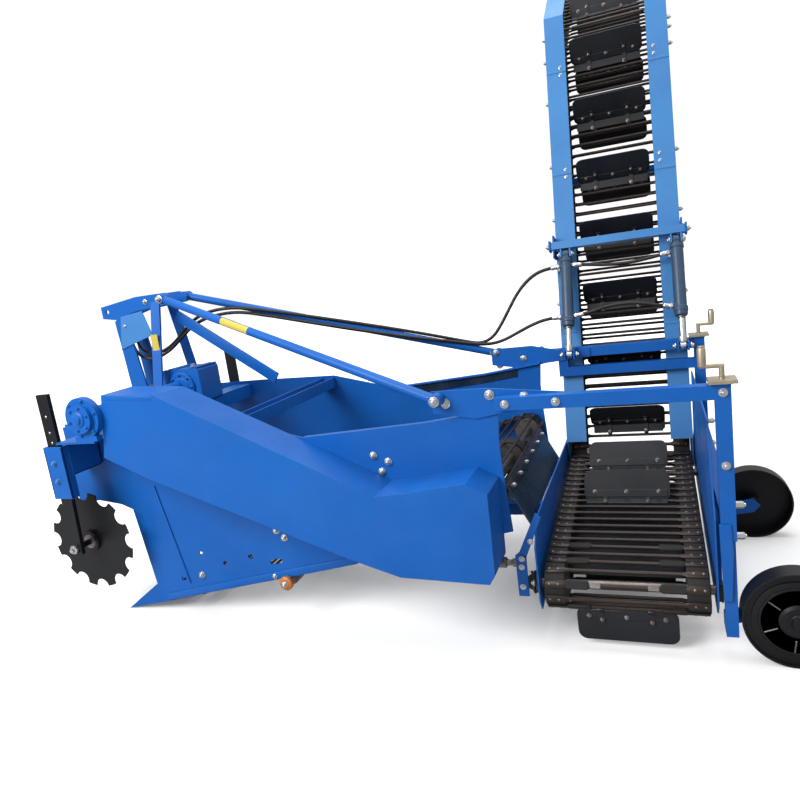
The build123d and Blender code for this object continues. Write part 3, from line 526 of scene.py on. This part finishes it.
def belt_path(spine, radius):
    """Closed path at radius from a spine: along its lower side, round the end, back along the upper side and
    round the start. At a bend the inner side stops short by radius times the tangent of half the turn, and the
    outer side follows an arc about the bend. Returns what gives the place and the heading at a distance along it,
    and its whole length."""
    s = np.array(spine, float)
    d = unit(np.diff(s, axis=0))
    n = np.stack((-d[:, 1], d[:, 0]), -1)
    first, last = s[0], s[-1]
    angle = np.arctan2(d[:, 1], d[:, 0])

    def arc(centre, start, sweep):
        """Places at radius from the centre, from one angle on."""
        a = start + np.linspace(0, sweep, 40)
        return centre + radius * np.stack((np.cos(a), np.sin(a)), -1)

    line = [(first - radius * n[0])[None]]
    for i in range(len(d) - 1):
        half = (angle[i] - angle[i + 1]) / 2
        line.append((s[i + 1] - radius * n[i] - radius * np.tan(half) * d[i])[None])
    line.append(arc(last, angle[-1] - np.pi / 2, np.pi))
    for i in range(len(d) - 2, -1, -1):
        line.append(arc(s[i + 1], angle[i + 1] + np.pi / 2, angle[i] - angle[i + 1]))
    line.append(arc(first, angle[0] + np.pi / 2, np.pi))
    line = np.concatenate(line)
    line = np.concatenate((line, line[:1]))
    run = np.concatenate(((0,), np.cumsum(np.linalg.norm(np.diff(line, axis=0), axis=1))))

    reach = 6.0    # a heading goes from this far behind the place to this far ahead

    def spot_at(distance):
        """Place and heading at a distance along the path."""
        here, ahead, back = (np.stack([np.interp(np.mod(distance + q, run[-1]), run, line[:, k]) for k in (0, 1)], -1)
                             for q in (0, reach, -reach))
        return here, unit(ahead - back)

    return spot_at, run[-1]


# Half a rod: distance from its end, half height, half width, lift off the belt
rod_profile = np.array(((0.0, 3.0, 10.0, 8.6), (2.0, 3.8, 12.5, 8.6), (70.0, 3.8, 12.5, 8.6), (78.0, 4.6, 9.5, 7.0),
                        (90.0, 6.6, 6.6, 3.6)))


def rods(half, thick, spots, headings, outs, across):
    """Rods across a web: an ellipse carried from end to end, flat over the belts and round between them. Its
    half axes and lift come from the rod's profile by the distance from the nearer end."""
    w = np.concatenate((-half + rod_profile[:, 0], half - rod_profile[::-1, 0]))
    sizes = np.concatenate((rod_profile, rod_profile[::-1])) * (1, thick, thick, 1)
    a = np.arange(8) * np.pi / 4
    x = sizes[:, 2, None] * np.cos(a)
    y = sizes[:, 1, None] * np.sin(a) + sizes[:, 3, None]
    p = (spots[:, None, None] + x[None, ..., None] * headings[:, None, None]
         + y[None, ..., None] * outs[:, None, None] + w[None, :, None, None] * across)
    groups = skin(len(w), 8)
    step = (len(w) * 8 * np.arange(len(spots)))[:, None, None]
    return p.reshape(-1, 3), [(g[None] + step).reshape(-1, g.shape[1]) for g in groups]


rod_pitch, belt_w, belt_t = 56.0, 78.0, 10.0


def web(name, node, body, origin, along, upwards, across, spine, radius, width, belts, flighted=(),
        padded_rods=(), thick=1.0, runs=1):
    """A rod web in place of its plain solid: belts, rods with riveted flat ends, and flights on some rods. It runs
    the way its path is listed, or against it where runs is -1."""
    origin, along, upwards, across = (np.array(v, float) for v in (origin, along, upwards, across))
    spot_at, length = belt_path(spine, radius - belt_t / 2)
    count = round(length / rod_pitch)

    def stations(distance):
        """Places, headings and outward directions in the drawing at distances along the path."""
        here, way = spot_at(distance)
        spots = origin + here[:, :1] * along + here[:, 1:] * upwards
        headings = way[:, :1] * along + way[:, 1:] * upwards
        outs = way[:, 1:] * along - way[:, :1] * upwards
        return spots, headings, outs

    belt_section, belt_step = rounded(belt_t, belt_w, 2.0, 3), 16.0
    ring, _, ring_out = stations(np.arange(0, length, belt_step))
    belting = [carried(ring + w * across, belt_section, ring_out, closed=True) for w in belts]
    made = piece(name + "_belts", joined(*belting), belt_rubber, body, sharp=50)
    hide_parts(node)
    spots, headings, outs = stations(np.arange(count) * length / count)
    half = width / 2 - 4
    bars = piece(name + "_rods", rods(half, thick, spots, headings, outs, across), rod_steel, body, sharp=60)
    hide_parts(node)
    rivet = turned([(0, 5.2), (1.6, 4.8), (3.0, 2.4)], 7)
    rivet_lift, rivet_w = 12.0, np.array([k * (half - q) for k in (-1, 1) for q in (16.0, 50.0)])
    places = (spots[:, None] + outs[:, None] * rivet_lift + rivet_w[None, :, None] * across).reshape(-1, 3)
    piece(name + "_rivets", copies(rivet, places, np.repeat(outs, len(rivet_w), 0), across), drawn_steel, body)
    if len(flighted):
        pick, leans = np.array(flighted).T
        flights(name, body, spots[pick], headings[pick] * runs, outs[pick], across, leans)
    if len(padded_rods):
        pick = np.array(padded_rods)
        pad = plate(34, 92, 9, 4, 16, 4)
        clip = plate(20, 40, 3, 3, 3, 0.8)
        for k, w in enumerate((-175.0, 175.0)):
            piece(f"{name}_pads_{k + 1}", copies(pad, spots[pick] + outs[pick] * 5 + w * across, outs[pick],
                                                 headings[pick]), belt_rubber, body)
        i = pick[0]
        clips = [copies(clip, spots[i] + outs[i] * 12 + w * across, outs[i], headings[i]) for w in (-105.0, 105.0)]
        piece(name + "_clips", joined(*clips), drawn_steel, body)


def flights(name, body, spots, headings, outs, across, leans):
    """Flights: rounded plates that lean forward from their rods, each on an angle strip with three bolts and held
    by two square fingers bolted to the rods. A plate rises along out times its lean's cosine plus heading times its
    lean's sine, with leans in degrees."""
    lean = np.radians(leans)[:, None]
    rise = outs * np.cos(lean) + headings * np.sin(lean)
    face = np.cross(np.broadcast_to(across, rise.shape), rise)
    blade = plate(146, 375, 35, 6, 5, 1.2)
    piece(name + "_flights", copies(blade, spots + rise * 77, face, rise), flight_steel, body)
    foot = plate(40, 350, 4, 3, 5, 1.0)
    strip = plate(34, 350, 4, 3, 5, 1.0)
    parts = [copies(strip, spots + rise * 38 - face * 5.5, face, rise),
             copies(strip, spots + rise * 30 + face * 5.5, face, rise),
             copies(foot, spots + outs * 13 - headings * 20, outs, headings)]
    finger = plate(92, 22, 3, 3, 7, 1.0)
    hook = plate(56, 22, 3, 3, 7, 1.0)
    finger_ws = (-92.0, 92.0)
    for w in finger_ws:
        parts.append(copies(finger, spots + outs * 17 - headings * 2 + w * across, outs, headings))
        parts.append(copies(hook, spots + rise * 44 + face * 7 + w * across, face, rise))
    piece(name + "_flight_fingers", joined(*parts), flight_steel, body)
    head, strip_ws = hex_bolt(8), (-140.0, 0.0, 140.0)
    heads = [copies(head, spots + rise * 46 - face * 8 + w * across, -face, rise) for w in strip_ws]
    heads += [copies(head, spots + rise * 38 + face * 8 + w * across, face, rise) for w in strip_ws]
    heads += [copies(head, spots + outs * 20 - headings * 34 + w * across, outs, headings) for w in finger_ws]
    heads += [copies(hex_bolt(7), spots + rise * 52 + face * 10 + w * across, face, rise) for w in finger_ws]
    piece(name + "_flight_bolts", joined(*heads), drawn_steel, body)


def slope(low, high):
    """Length, cosine and sine of the line between two pairs of sizes."""
    run, rise = np.subtract(high, low)
    angle = np.arctan2(rise, run)
    return np.hypot(run, rise), np.cos(angle), np.sin(angle)


dig_length, dig_cos, dig_sin = slope((-960, 172), (600, 634))
web("dig", "digging_web", "frame", (600, 0, 634), (-dig_cos, 0, -dig_sin), (-dig_sin, 0, dig_cos), far_way,
    spine=((0, 0), (dig_length, 0)), radius=75.0, width=1050.0, belts=(-486.0, 0.0, 486.0))
belt_off = 261.0
conv_length, conv_cos, conv_sin = slope((-515, 245), (478, 368))
conv_head = np.array((1110, 478, 368))
conv_way, conv_up = (0, -conv_cos, -conv_sin), (0, -conv_sin, conv_cos)
conv_flights = ((5, 40), (11, 40), (19, -42), (32, 40), (38, 40))    # rod and lean of each
web("conv", "conveyor_web", "frame", conv_head, conv_way, conv_up, front_way, spine=((0, 0), (conv_length, 0)),
    radius=88.0, width=600.0, belts=(-belt_off, belt_off), flighted=conv_flights, padded_rods=(21, 19, 23, 25),
    thick=1.25)
# A black sheet between the conveyor's two runs, a guessed bed, put there to darken the gaps between the rods: painted
# shade
shade_sheet_at = conv_head + np.array(conv_way) * conv_length / 2 - (0, 0, 18)
piece("conv_shade_sheet", copies(plate(conv_length - 190, 440, 8, 3, 4, 1), shade_sheet_at, conv_up, (0, conv_cos, conv_sin)),
      black_paint)
lift_slope, spout_drop = np.radians(76.0), np.radians(41.0)
lift_cos, lift_sin = np.cos(lift_slope), np.sin(lift_slope)
lift_run, spout_run = 2380.0, 560.0
lift_spine = ((0, 0), (lift_run, 0), (lift_run + spout_run * np.cos(spout_drop), -spout_run * np.sin(spout_drop)))
lift_origin = np.array((1110.0, 650.0, 410.0))
lift_along, lift_up = np.array((0, lift_cos, lift_sin)), np.array((0, -lift_sin, lift_cos))
lift_across = np.array((1.0, 0, 0))
web("lift", "elevator_web", "elevator", lift_origin, lift_along, lift_up, lift_across, spine=lift_spine, radius=75.0,
    width=600.0, belts=(-belt_off, belt_off), flighted=[(i, 40) for i in range(4, 110, 6)], thick=1.08, runs=-1)


def on_lift(u, v, w):
    """Drawing place of elevator sizes: u up its slope from the foot shaft, v towards the digger, w rearwards."""
    u, v, w = (np.asarray(k, float)[..., None] for k in (u, v, w))
    return lift_origin + u * lift_along + v * lift_up + w * lift_across


# Elevator: seams between its wall's parts, side and flange bolts, cross plate, the bar's end blocks and gussets
wall_w, front_v = 314.0, 165.0
flange_w = 261.5
splices = [(k * flange_w, u) for k, u in ((-1, 2130), (-1, 1560), (1, 2080), (1, 1500), (-1, 690), (1, 690))]
seam = plate(14, 104, 2, 3, 3, 0.8)
# The seams take the paler blue copy: painted sky sheen
piece("lift_seams", copies(seam, [on_lift(u, front_v + 1.0, w) for w, u in splices], lift_up, lift_along),
      sky_sheen_blue_paint, "elevator")
side_us = {"near": (2360, 2230, 1990, 1630, 1330, 860), "far": (2320, 2270, 2180, 1610, 1290, 860)}
for k, side in both_sides:
    bolts(f"lift_{side}_bolts", [on_lift(u, 96, k * wall_w) for u in side_us[side]], (k, 0, 0), 12, "elevator", tall=16)
bolts("lift_flange_bolts", [on_lift(u, front_v, w) for w in (-240, 240) for u in (2150, 2110, 1580, 1540)],
      lift_up, 7, "elevator")
stay = bar(on_lift(1550, 0, -306), on_lift(1550, 0, 306), 62, 6, lift_along, 2)
stay_lip = bar(on_lift(1522, 14, -306), on_lift(1522, 14, 306), 6, 30, lift_along, 2)
piece("lift_cross_plate", joined(stay, stay_lip), blue_paint, "elevator")
bar_u, bar_v, bar_end, gusset_w = 1150.0, 225.0, 338.0, 318.5


def on_both(shape, u, v, w):
    """The shape at both sides of the elevator, facing away from its middle."""
    return joined(*[copies(shape, on_lift(u, v, k * w), (k, 0, 0), lift_along) for k in (-1, 1)])


piece("bar_end_blocks", on_both(plate(56, 56, 6, 4, 10, 1.5), bar_u, bar_v, bar_end), blue_paint, "elevator")
bolts("bar_end_bolts", on_lift(bar_u, bar_v, -bar_end - 5), front_way, 14, "elevator")
bolts("bar_far_bolts", on_lift(bar_u, bar_v, bar_end + 5), rear_way, 14, "elevator")
piece("bar_gussets", on_both(plate(120, 90, 12, 5, 8, 1.2), bar_u, 196, gusset_w), blue_paint, "elevator")
for k, side in both_sides:
    bolts(f"bar_gusset_bolts_{side}", [on_lift(bar_u + q, 150, k * (gusset_w + 4)) for q in (-40, 40)], (k, 0, 0),
          10, "elevator")

# Cylinders: pins, caps, ports with their tees, rod eyes and wipers
pin_head = turned([(0, 17), (5, 17), (7, 15), (7, 9), (14, 8.5), (15, 6)], 20)
collar = turned([(24, 22), (26, 33), (44, 34), (47, 32), (47, 30.2)], 36)
gland = turned([(352, 30.2), (352, 33), (356, 34.5), (376, 34.5), (379, 32), (381, 32), (396, 31), (399, 28),
                (402, 26), (404, 18), (404, 14.2)], 36)
block = plate(34, 34, 5, 4, 30, 2.5)
stub = turned([(0, 9), (3, 13), (14, 13), (15, 15), (26, 15.5), (28, 13)], 6)
wiper = turned([(0, 14.3), (0, 19), (8, 19), (10, 16), (10, 14.3)], 28)
eye_neck = turned([(0, 14.2), (0, 20), (18, 21), (30, 17), (30, 12)], 28)
run = np.array((0, *cylinder_run))
outwards = np.array((0, *(cylinder_run[::-1] * (1, -1))))
pin_u, gland_end, nut_place, neck_start = 1100, 404, 85.0, 46
for side, x in cylinder_x.items():
    w = x - lift_origin[0]
    piece(f"{side}_top_pin", joined(*[copies(pin_head, on_lift(pin_u, bar_v, w + k * 30), (k, 0, 0))
                                      for k in (-1, 1)]), zinc_plate, "elevator")
    piece(f"{side}_low_pin", joined(*[copies(pin_head, (x + k * 34, *rod_eye), (k, 0, 0)) for k in (-1, 1)]),
          zinc_plate)
    top, barrel = np.array((x, *top_pin)), f"{side}_barrel"
    piece(f"{side}_cylinder_caps", joined(copies(collar, top, run), copies(gland, top, run)), grey_enamel, barrel)
    tees = [copies(block, top + run * u - outwards * 20, run) for u in port_places]
    tees += [copies(stub, top + run * u + (way * 20.0, 0, 0), (way, 0, 0)) for u in port_places
             for way in ((-1, 1) if side == "front" else (-1,))]
    piece(f"{side}_fittings", joined(*tees), zinc_plate, barrel)
    piece(f"{side}_rod_eye", copies(eye_neck, np.array((x, *rod_eye)) - run * neck_start, run), zinc_plate,
          f"{side}_rod")
    piece(f"{side}_wiper", copies(wiper, top + run * gland_end, run), drawn_steel, barrel)
    bolts(f"{side}_port_nuts", top + run * nut_place + (14 - port_face, 0, 0), front_way, 8, barrel)

# Side walls and plates: bolts, bottom rails and uprights, and the roller at the near wall
near_wall, near_plate, joint_face = -545.0, -553.0, -603
wall_spots = ((-899, 217), (-467, 232), (-419, 462), (-382, 427), (131, 813), (196, 785), (162, 741))
bolts("near_wall_bolts", on_side(near_wall, *wall_spots), near_way, 14)
bolts("near_plate_bolts", on_side(near_plate, (482, 1023), (664, 1048), (798, 1032)), near_way, 16)
bolts("near_joint_bolts", on_side(joint_face, (730, 1018), (920, 1018)), near_way, 13)
bolts("far_plate_bolts", on_side(-near_plate, (435, 1054), (465, 980), (595, 985), (700, 1050)), far_way, 15)
bolts("far_inside_bolts", on_side(-near_wall, (452, 1054), (600, 1010)), near_way, 14)
for k, side in both_sides:
    y = k * 548.0
    bottom_rail = bar((-1135, y, 84), (-30, y, 327), 8, 36, far_way, 3)
    upright = bar((-1086, y, 690), (-984, y, 170), 7, 14, far_way, 3)
    piece(f"{side}_wall_rails", joined(bottom_rail, upright), blue_paint)
bolts("far_wall_bolts", on_side(-near_wall, *wall_spots[:-1]), far_way, 14)
roller = turned([(0, 12), (0, 22), (3, 30), (7, 34), (22, 34), (26, 30), (29, 22), (29, 12)], 40)
roller_x, roller_z = -402, 206
piece("orange_roller", copies(roller, (roller_x, near_wall - 4, roller_z), near_way), orange_plastic)
bolts("roller_bolts", (roller_x, near_wall - 33, roller_z), near_way, 13)

# Chain guard's folded rim
guard_face = -750.0
piece("guard_trim", bar((-1050, guard_face + 2, 1182), (-800, guard_face + 2, 1163), 6, 22, far_way, 2), blue_paint)

# Hub and covers on the cross shaft's near end, and the gear housing
gear_x, gear_z = -1190.0, 1100.0
gear_side_x = gear_x + 20
hub_face, cover_face = -783.0, -803.0
bolts("hub_bolts", round_spots((gear_x, hub_face, gear_z), 84, 6, 15), near_way, 8, coat=blue_paint)
bolts("cover_bolts", round_spots((gear_x, cover_face, gear_z), 54, 6, 15), near_way, 7, coat=blue_paint)
boss = turned([(0, 36), (3, 36), (6, 32), (8, 22), (14, 20), (16, 14)], 32)
piece("hub_boss", copies(boss, (gear_x, cover_face, gear_z), near_way), blue_paint)
flange = turned([(0, 92), (10, 92), (13, 88), (13, 62), (20, 58), (24, 40), (24, 20)], 40)
piece("gear_input_flange", copies(flange, (gear_x - 150, 0, gear_z), front_way), blue_paint)
bolts("gear_input_bolts", round_spots((gear_x - 163, 0, gear_z), 76, 8, plane=(1, 2)), front_way, 8, coat=blue_paint)
cheek = turned([(0, 84), (10, 84), (14, 80), (14, 56), (20, 50), (20, 39)], 40)
piece("gear_side_covers", joined(*[copies(cheek, (gear_side_x, k * 90, gear_z), (0, k, 0)) for k in (-1, 1)]),
      blue_paint)
bolts("gear_side_bolts", round_spots((gear_side_x, -104, gear_z), 69, 8), near_way, 8, coat=blue_paint)
plug = turned([(0, 16), (4, 16), (4, 12), (14, 12), (16, 8)], 6)
piece("gear_filler", copies(plug, (gear_x + 40, 0, gear_z + 100), up_way), zinc_plate)
rib = slab([(-90, -8), (90, -8), (90, 8), (-90, 8)], 6, 1)
piece("gear_ribs", copies(rib, [(gear_side_x + q, 0, gear_z + 103) for q in (-70, -35, 75, 108)], up_way, far_way),
      blue_paint)

# Mast, braces, lower links, shanks and discs
brace_top, brace_low = np.array((-1180.0, 101.0, 1590.0)), np.array((455.0, 586.0, 1045.0))
shank_x, holder_z, arm_z = -1435.0, 835, 890
disc_x, disc_z = -1449.0, 440.0
lynch = turned([(0, 16), (4, 18), (10, 18), (13, 14)], 24)
rivet = turned([(0, 6), (1.5, 6), (3, 4)], 14)
hub_disc = turned([(-26, 62), (-25, 66), (-19, 66), (-18, 62)], 40)
hub_cap = turned([(-42, 14), (-41, 26), (-28, 32), (-19, 36), (19, 36), (22, 30)], 32)
spindle_nut = turned([(0, 20), (2, 24), (16, 24), (18, 20), (18, 12), (30, 12), (31, 9)], 6)
for k, side in both_sides:
    flip, way = np.array((1, k, 1)), (0, k, 0)
    bolts(f"{side}_brace_bolts", [end * flip + (0, k * 27, 0) for end in (brace_top, brace_low)], way, 17, tall=15)
    bolts(f"{side}_mast_bolts", on_side(k * 68.0, (-1330, 1588), (-1530, 1000), (-1450, 1000), (-1500, 1470)), way, 12)
    piece(f"{side}_link_collar", copies(lynch, (-1640, k * 328.0, 960), (0, -k, 0)), zinc_plate)
    piece(f"{side}_shank_holes", copies(rivet, [(shank_x, k * 760.0, z) for z in (1114, 1035, 985)], way), zinc_plate)
    holder = [copies(plate(118, 262, 5, 3, 8, 1.5), (shank_x, k * 766.0, holder_z), way)]
    holder += [copies(plate(262, 44, 4, 3, 8, 1.5), (shank_x + q, k * 748.0, holder_z), rear_way, up_way)
               for q in (-55, 55)]
    piece(f"{side}_shank_holder", joined(*holder), blue_paint)
    # These bolts take the paler blue copy: painted sheen
    bolts(f"{side}_shank_bolts", [(-1443, k * 770.0, z) for z in (885, 795)], way, 12, coat=sky_sheen_blue_paint)
    arm_sides = [copies(plate(150, 178, 4, 3, 6, 1.0), (shank_x + q, k * 648.0, arm_z), rear_way, up_way)
                 for q in (-59, 59)]
    arm_sides += [copies(plate(124, 178, 4, 3, 6, 1.0), (shank_x, k * 648.0, arm_z + q), up_way) for q in (-72, 72)]
    piece(f"{side}_arm_cover", joined(*arm_sides), blue_paint)
    disc_body = f"{side}_disc_body"
    piece(f"{side}_disc_hub", joined(*[copies(part, (disc_x, k * 655.0, disc_z), way) for part in (hub_disc, hub_cap)]),
          drawn_steel, disc_body)
    bolts(f"{side}_disc_bolts", round_spots((disc_x, k * 629.0, disc_z), 47, 5, 20), (0, -k, 0), 8, disc_body)
    piece(f"{side}_spindle_nut", copies(spindle_nut, (disc_x, k * 760.0, disc_z), way), zinc_plate)

# Yellow plate on a mast leg, gusset, stay, and yellow plate bent round the near brace's top
leg_low, leg_top = np.array((-1275.0, -190.0, 990.0)), np.array((-1265.0, -62.0, 1580.0))
leg_way = unit(leg_top - leg_low)
leg_share = 0.58    # of the way up the leg
leg_spot = leg_low + (leg_top - leg_low) * leg_share + (0, -8.5, 0)
piece("yellow_leg_plate", copies(plate(150, 46, 4, 3, 1.6, 0.4), leg_spot, near_way, leg_way), yellow_plate)
gusset = slab([(-1517, 1524), (-1361, 1541), (-1320, 1403), (-1560, 1340)], 6, 1.5)
# The gusset takes the paler blue copy, whose lightness is painted sky sheen
piece("mast_gusset", copies(gusset, (0, -72, 0), near_way, rear_way), sky_sheen_blue_paint)
piece("mast_stay", bar((-1215.0, 30, 1490), (-640.0, 30, 1090), 12, 62, far_way, 3), blue_paint)

near_side = np.array((1, -1, 1))
brace_start, brace_run = brace_top * near_side, np.linalg.norm(brace_low - brace_top)
along_brace = unit((brace_low - brace_top) * near_side)
arc = np.radians(np.linspace(20, 130, 16))
arc = np.stack((np.cos(arc), np.sin(arc)), -1)
inner_r, outer_r = 21.2, 22.2
patch = np.concatenate((outer_r * arc, inner_r * arc[::-1]))
plate_path = brace_start + along_brace * (np.linspace(0.28, 0.39, 12) * brace_run)[:, None]
piece("yellow_brace_plate", carried(plate_path, patch[:, ::-1] * (-1, 1), far_way), yellow_plate, sharp=50)

# Rear posts, wheels and cranks
post_x, post_off, post_face = 1475.0, 578.0, 603.0
wheel_x, wheel_z, wheel_off = 1685.0, 180.0, 591.0
inner_band = turned([(0, 120), (3, 121), (4, 125), (3, 129), (0, 130)], 72)
centre = turned([(0, 150), (7, 150), (9, 146), (7, 120), (6, 66), (14, 54), (14, 30), (18, 26), (26, 24), (28, 12)],
                64)
spokes = round_spots((0, 0, 0), 1.0, 6, 22)
grip = turned([(0, 11), (3, 14), (60, 14.5), (66, 12), (68, 8)], 20)
for k, side in both_sides:
    way, wheel_body = (0, k, 0), f"{side}_wheel_body"
    piece(f"{side}_post_cap", copies(plate(60, 60, 4, 3, 5, 1.2), (post_x, k * post_off, 1047.5), up_way), blue_paint)
    bolts(f"{side}_post_bolts", [(1500, k * post_off, z) for z in (608, 492)], rear_way, 13, tall=26)
    bolts(f"{side}_post_side_bolts", [(post_x, k * post_face, z) for z in (1018, 760)], way, 12)
    axle = np.array((wheel_x, k * wheel_off, wheel_z))
    piece(f"{side}_wheel_face", joined(copies(inner_band, axle + (0, k * 7, 0), way), copies(centre, axle, way)),
          black_paint, wheel_body)
    # The ribs are bare steel on the black wheel: a painted highlight along them
    piece(f"{side}_wheel_highlight_ribs", copies(plate(48, 5, 2, 3, 5, 1.2), axle + spokes * 96 + (0, k * 9, 0), way, spokes),
          drawn_steel, wheel_body)
    bolts(f"{side}_wheel_bolts", round_spots(axle + (0, k * 8, 0), 42, 5, 10), way, 7, wheel_body, black_paint)
    piece(f"{side}_crank_grip", copies(grip, (post_x + k * 60.0, k * post_off, 1104), up_way), yellow_zinc)

# Bearings of the conveyor's tail shaft: a flat cap behind, as the wheel leg passes there, and a dome in front
tail_off, tail_z = -515.0, 245.0
piece("rear_bearing_cap", copies(turned([(0, 46), (2, 47), (4, 42)], 36), (1450, tail_off, tail_z), rear_way),
      cast_iron)
dome = turned([(0, 46), (4, 47), (8, 44), (10, 34), (20, 31), (30, 25), (36, 15), (38, 6)], 36)
nipple = turned([(0, 4), (8, 4), (9, 6), (12, 6), (14, 3)], 10)
dome_at = np.array((764.0, tail_off, tail_z))
piece("front_bearing_dome", joined(copies(dome, dome_at, front_way), copies(nipple, dome_at + (-14, 0, 34), up_way)),
      cast_iron)
bolts("front_bearing_bolts", [dome_at + (4, q, p) for q, p in ((-52, 22), (52, -22))], front_way, 11)

# Conveyor's front tail bracket with the drive shaft that comes from the chain guard, and the near post's bracket
arm_off, arm_face = -566, -571
arm = slab([(716, 395), (742, 372), (818, 548), (796, 568)], 10, 1.5)
arm_foot = slab([(700, 208), (742, 208), (744, 384), (716, 398), (700, 384)], 10, 1.5)
piece("tail_arm", joined(*[copies(part, (0, arm_off, 0), near_way, rear_way) for part in (arm, arm_foot)]), blue_paint)
bolts("tail_arm_bolts", on_side(arm_face, (768, 448), (726, 372), (722, 336), (720, 250)), near_way, 10)
shaft = turned([(0, 20), (2, 22), (60, 22), (64, 15), (70, 12), (86, 12), (88, 17), (104, 17), (106, 10), (122, 10)],
               28)
piece("tail_shaft", copies(shaft, (600, -560, 350), rear_way), drawn_steel)
strut = slab([(1444, 545), (1482, 545), (1488, 440), (1478, 252), (1450, 252), (1446, 430)], 8, 1.5)
piece("post_strut", copies(strut, (0, -606, 0), near_way, rear_way), blue_paint)

# Rubber flap's clamp strip, and bolts that hold it
flap_top, flap_low = np.array((688.0, -105.0, 672.0)), np.array((772.0, -105.0, 505.0))
flap_way = unit(flap_low - flap_top)
flap_face = np.array((-flap_way[2], 0, flap_way[0]))
clamp_middle = flap_top + flap_way * 24 + flap_face * 7
piece("flap_clamp", copies(plate(34, 840, 4, 3, 5, 1.2), clamp_middle, flap_face, flap_way), flight_steel)
bolts("flap_bolts", [clamp_middle + (0, q, 0) + flap_face * 2.5 for q in (-380, -230, -80, 80, 230, 380)],
      flap_face, 9)

# Floor and light: the floor glows for the camera, more with its distance, so that it meets the white behind it
floor_mesh = bpy.data.meshes.new("floor")
floor_half = 30.0
corners = [(x * floor_half, y * floor_half, 0) for x, y in ((-1, -1), (1, -1), (1, 1), (-1, 1))]
floor_mesh.from_pydata(corners, [], [(0, 1, 2, 3)])
floor = bpy.data.objects.new("floor", floor_mesh)
bpy.context.collection.objects.link(floor)
pale = bpy.data.materials.new("pale_floor")
pale.use_nodes = True
tree = pale.node_tree
seen = put(tree, "LightPath").outputs["Is Camera Ray"]
away = put(tree, "VectorMath", {0: object_spot(tree)}, operation="LENGTH").outputs["Value"]
shader = tree.nodes["Principled BSDF"].inputs
tree.links.new(mixed(tree, seen, (0.42, 0.42, 0.42), (0.80, 0.80, 0.80)), shader["Base Color"])
tree.links.new(sums(tree, "MULTIPLY", seen, spread(tree, away, 1.5, 6.0, 0.12, 0.8)), shader["Emission Strength"])
shader["Emission Color"].default_value = (1, 1, 1, 1)
shader["Roughness"].default_value = 0.9
shader["Specular IOR Level"].default_value = 0.0
floor_mesh.materials.append(pale)
world = bpy.data.worlds.new("studio")
bpy.context.scene.world = world
world.use_nodes = True
tree = world.node_tree
skyward = put(tree, "SeparateXYZ", {0: put(tree, "TexCoord").outputs["Generated"]}).outputs["Z"]
seen = put(tree, "LightPath").outputs["Is Camera Ray"]
backdrop_power = 1.05
power = put(tree, "Mix", {0: seen, 2: spread(tree, skyward, -0.3, 0.8, 0.35, 0.95), 3: backdrop_power},
            data_type="FLOAT")
tree.nodes["Background"].inputs["Color"].default_value = (1.0, 1.0, 1.0, 1)
tree.links.new(power.outputs[0], tree.nodes["Background"].inputs["Strength"])


def lamp(name, place, aim, size, power):
    """A square soft light that looks at a place."""
    data = bpy.data.lights.new(name, "AREA")
    data.shape = "SQUARE"
    data.size = size
    data.energy = power
    made = bpy.data.objects.new(name, data)
    back = unit(np.array(place, float) - np.array(aim, float))
    side = unit(np.cross(up_way, back))
    up = np.cross(back, side)
    made.matrix_world = Matrix([[side[i], up[i], back[i], place[i]] for i in range(3)] + [[0, 0, 0, 1]])
    bpy.context.collection.objects.link(made)


lamp("key_light", (-2.6, -5.0, 4.2), (0, 0, 1.0), 3.0, 430)
lamp("top_light", (1.0, 0.5, 6.5), (0, 0, 0.5), 4.0, 230)
bpy.context.scene.view_settings.view_transform = "Standard"
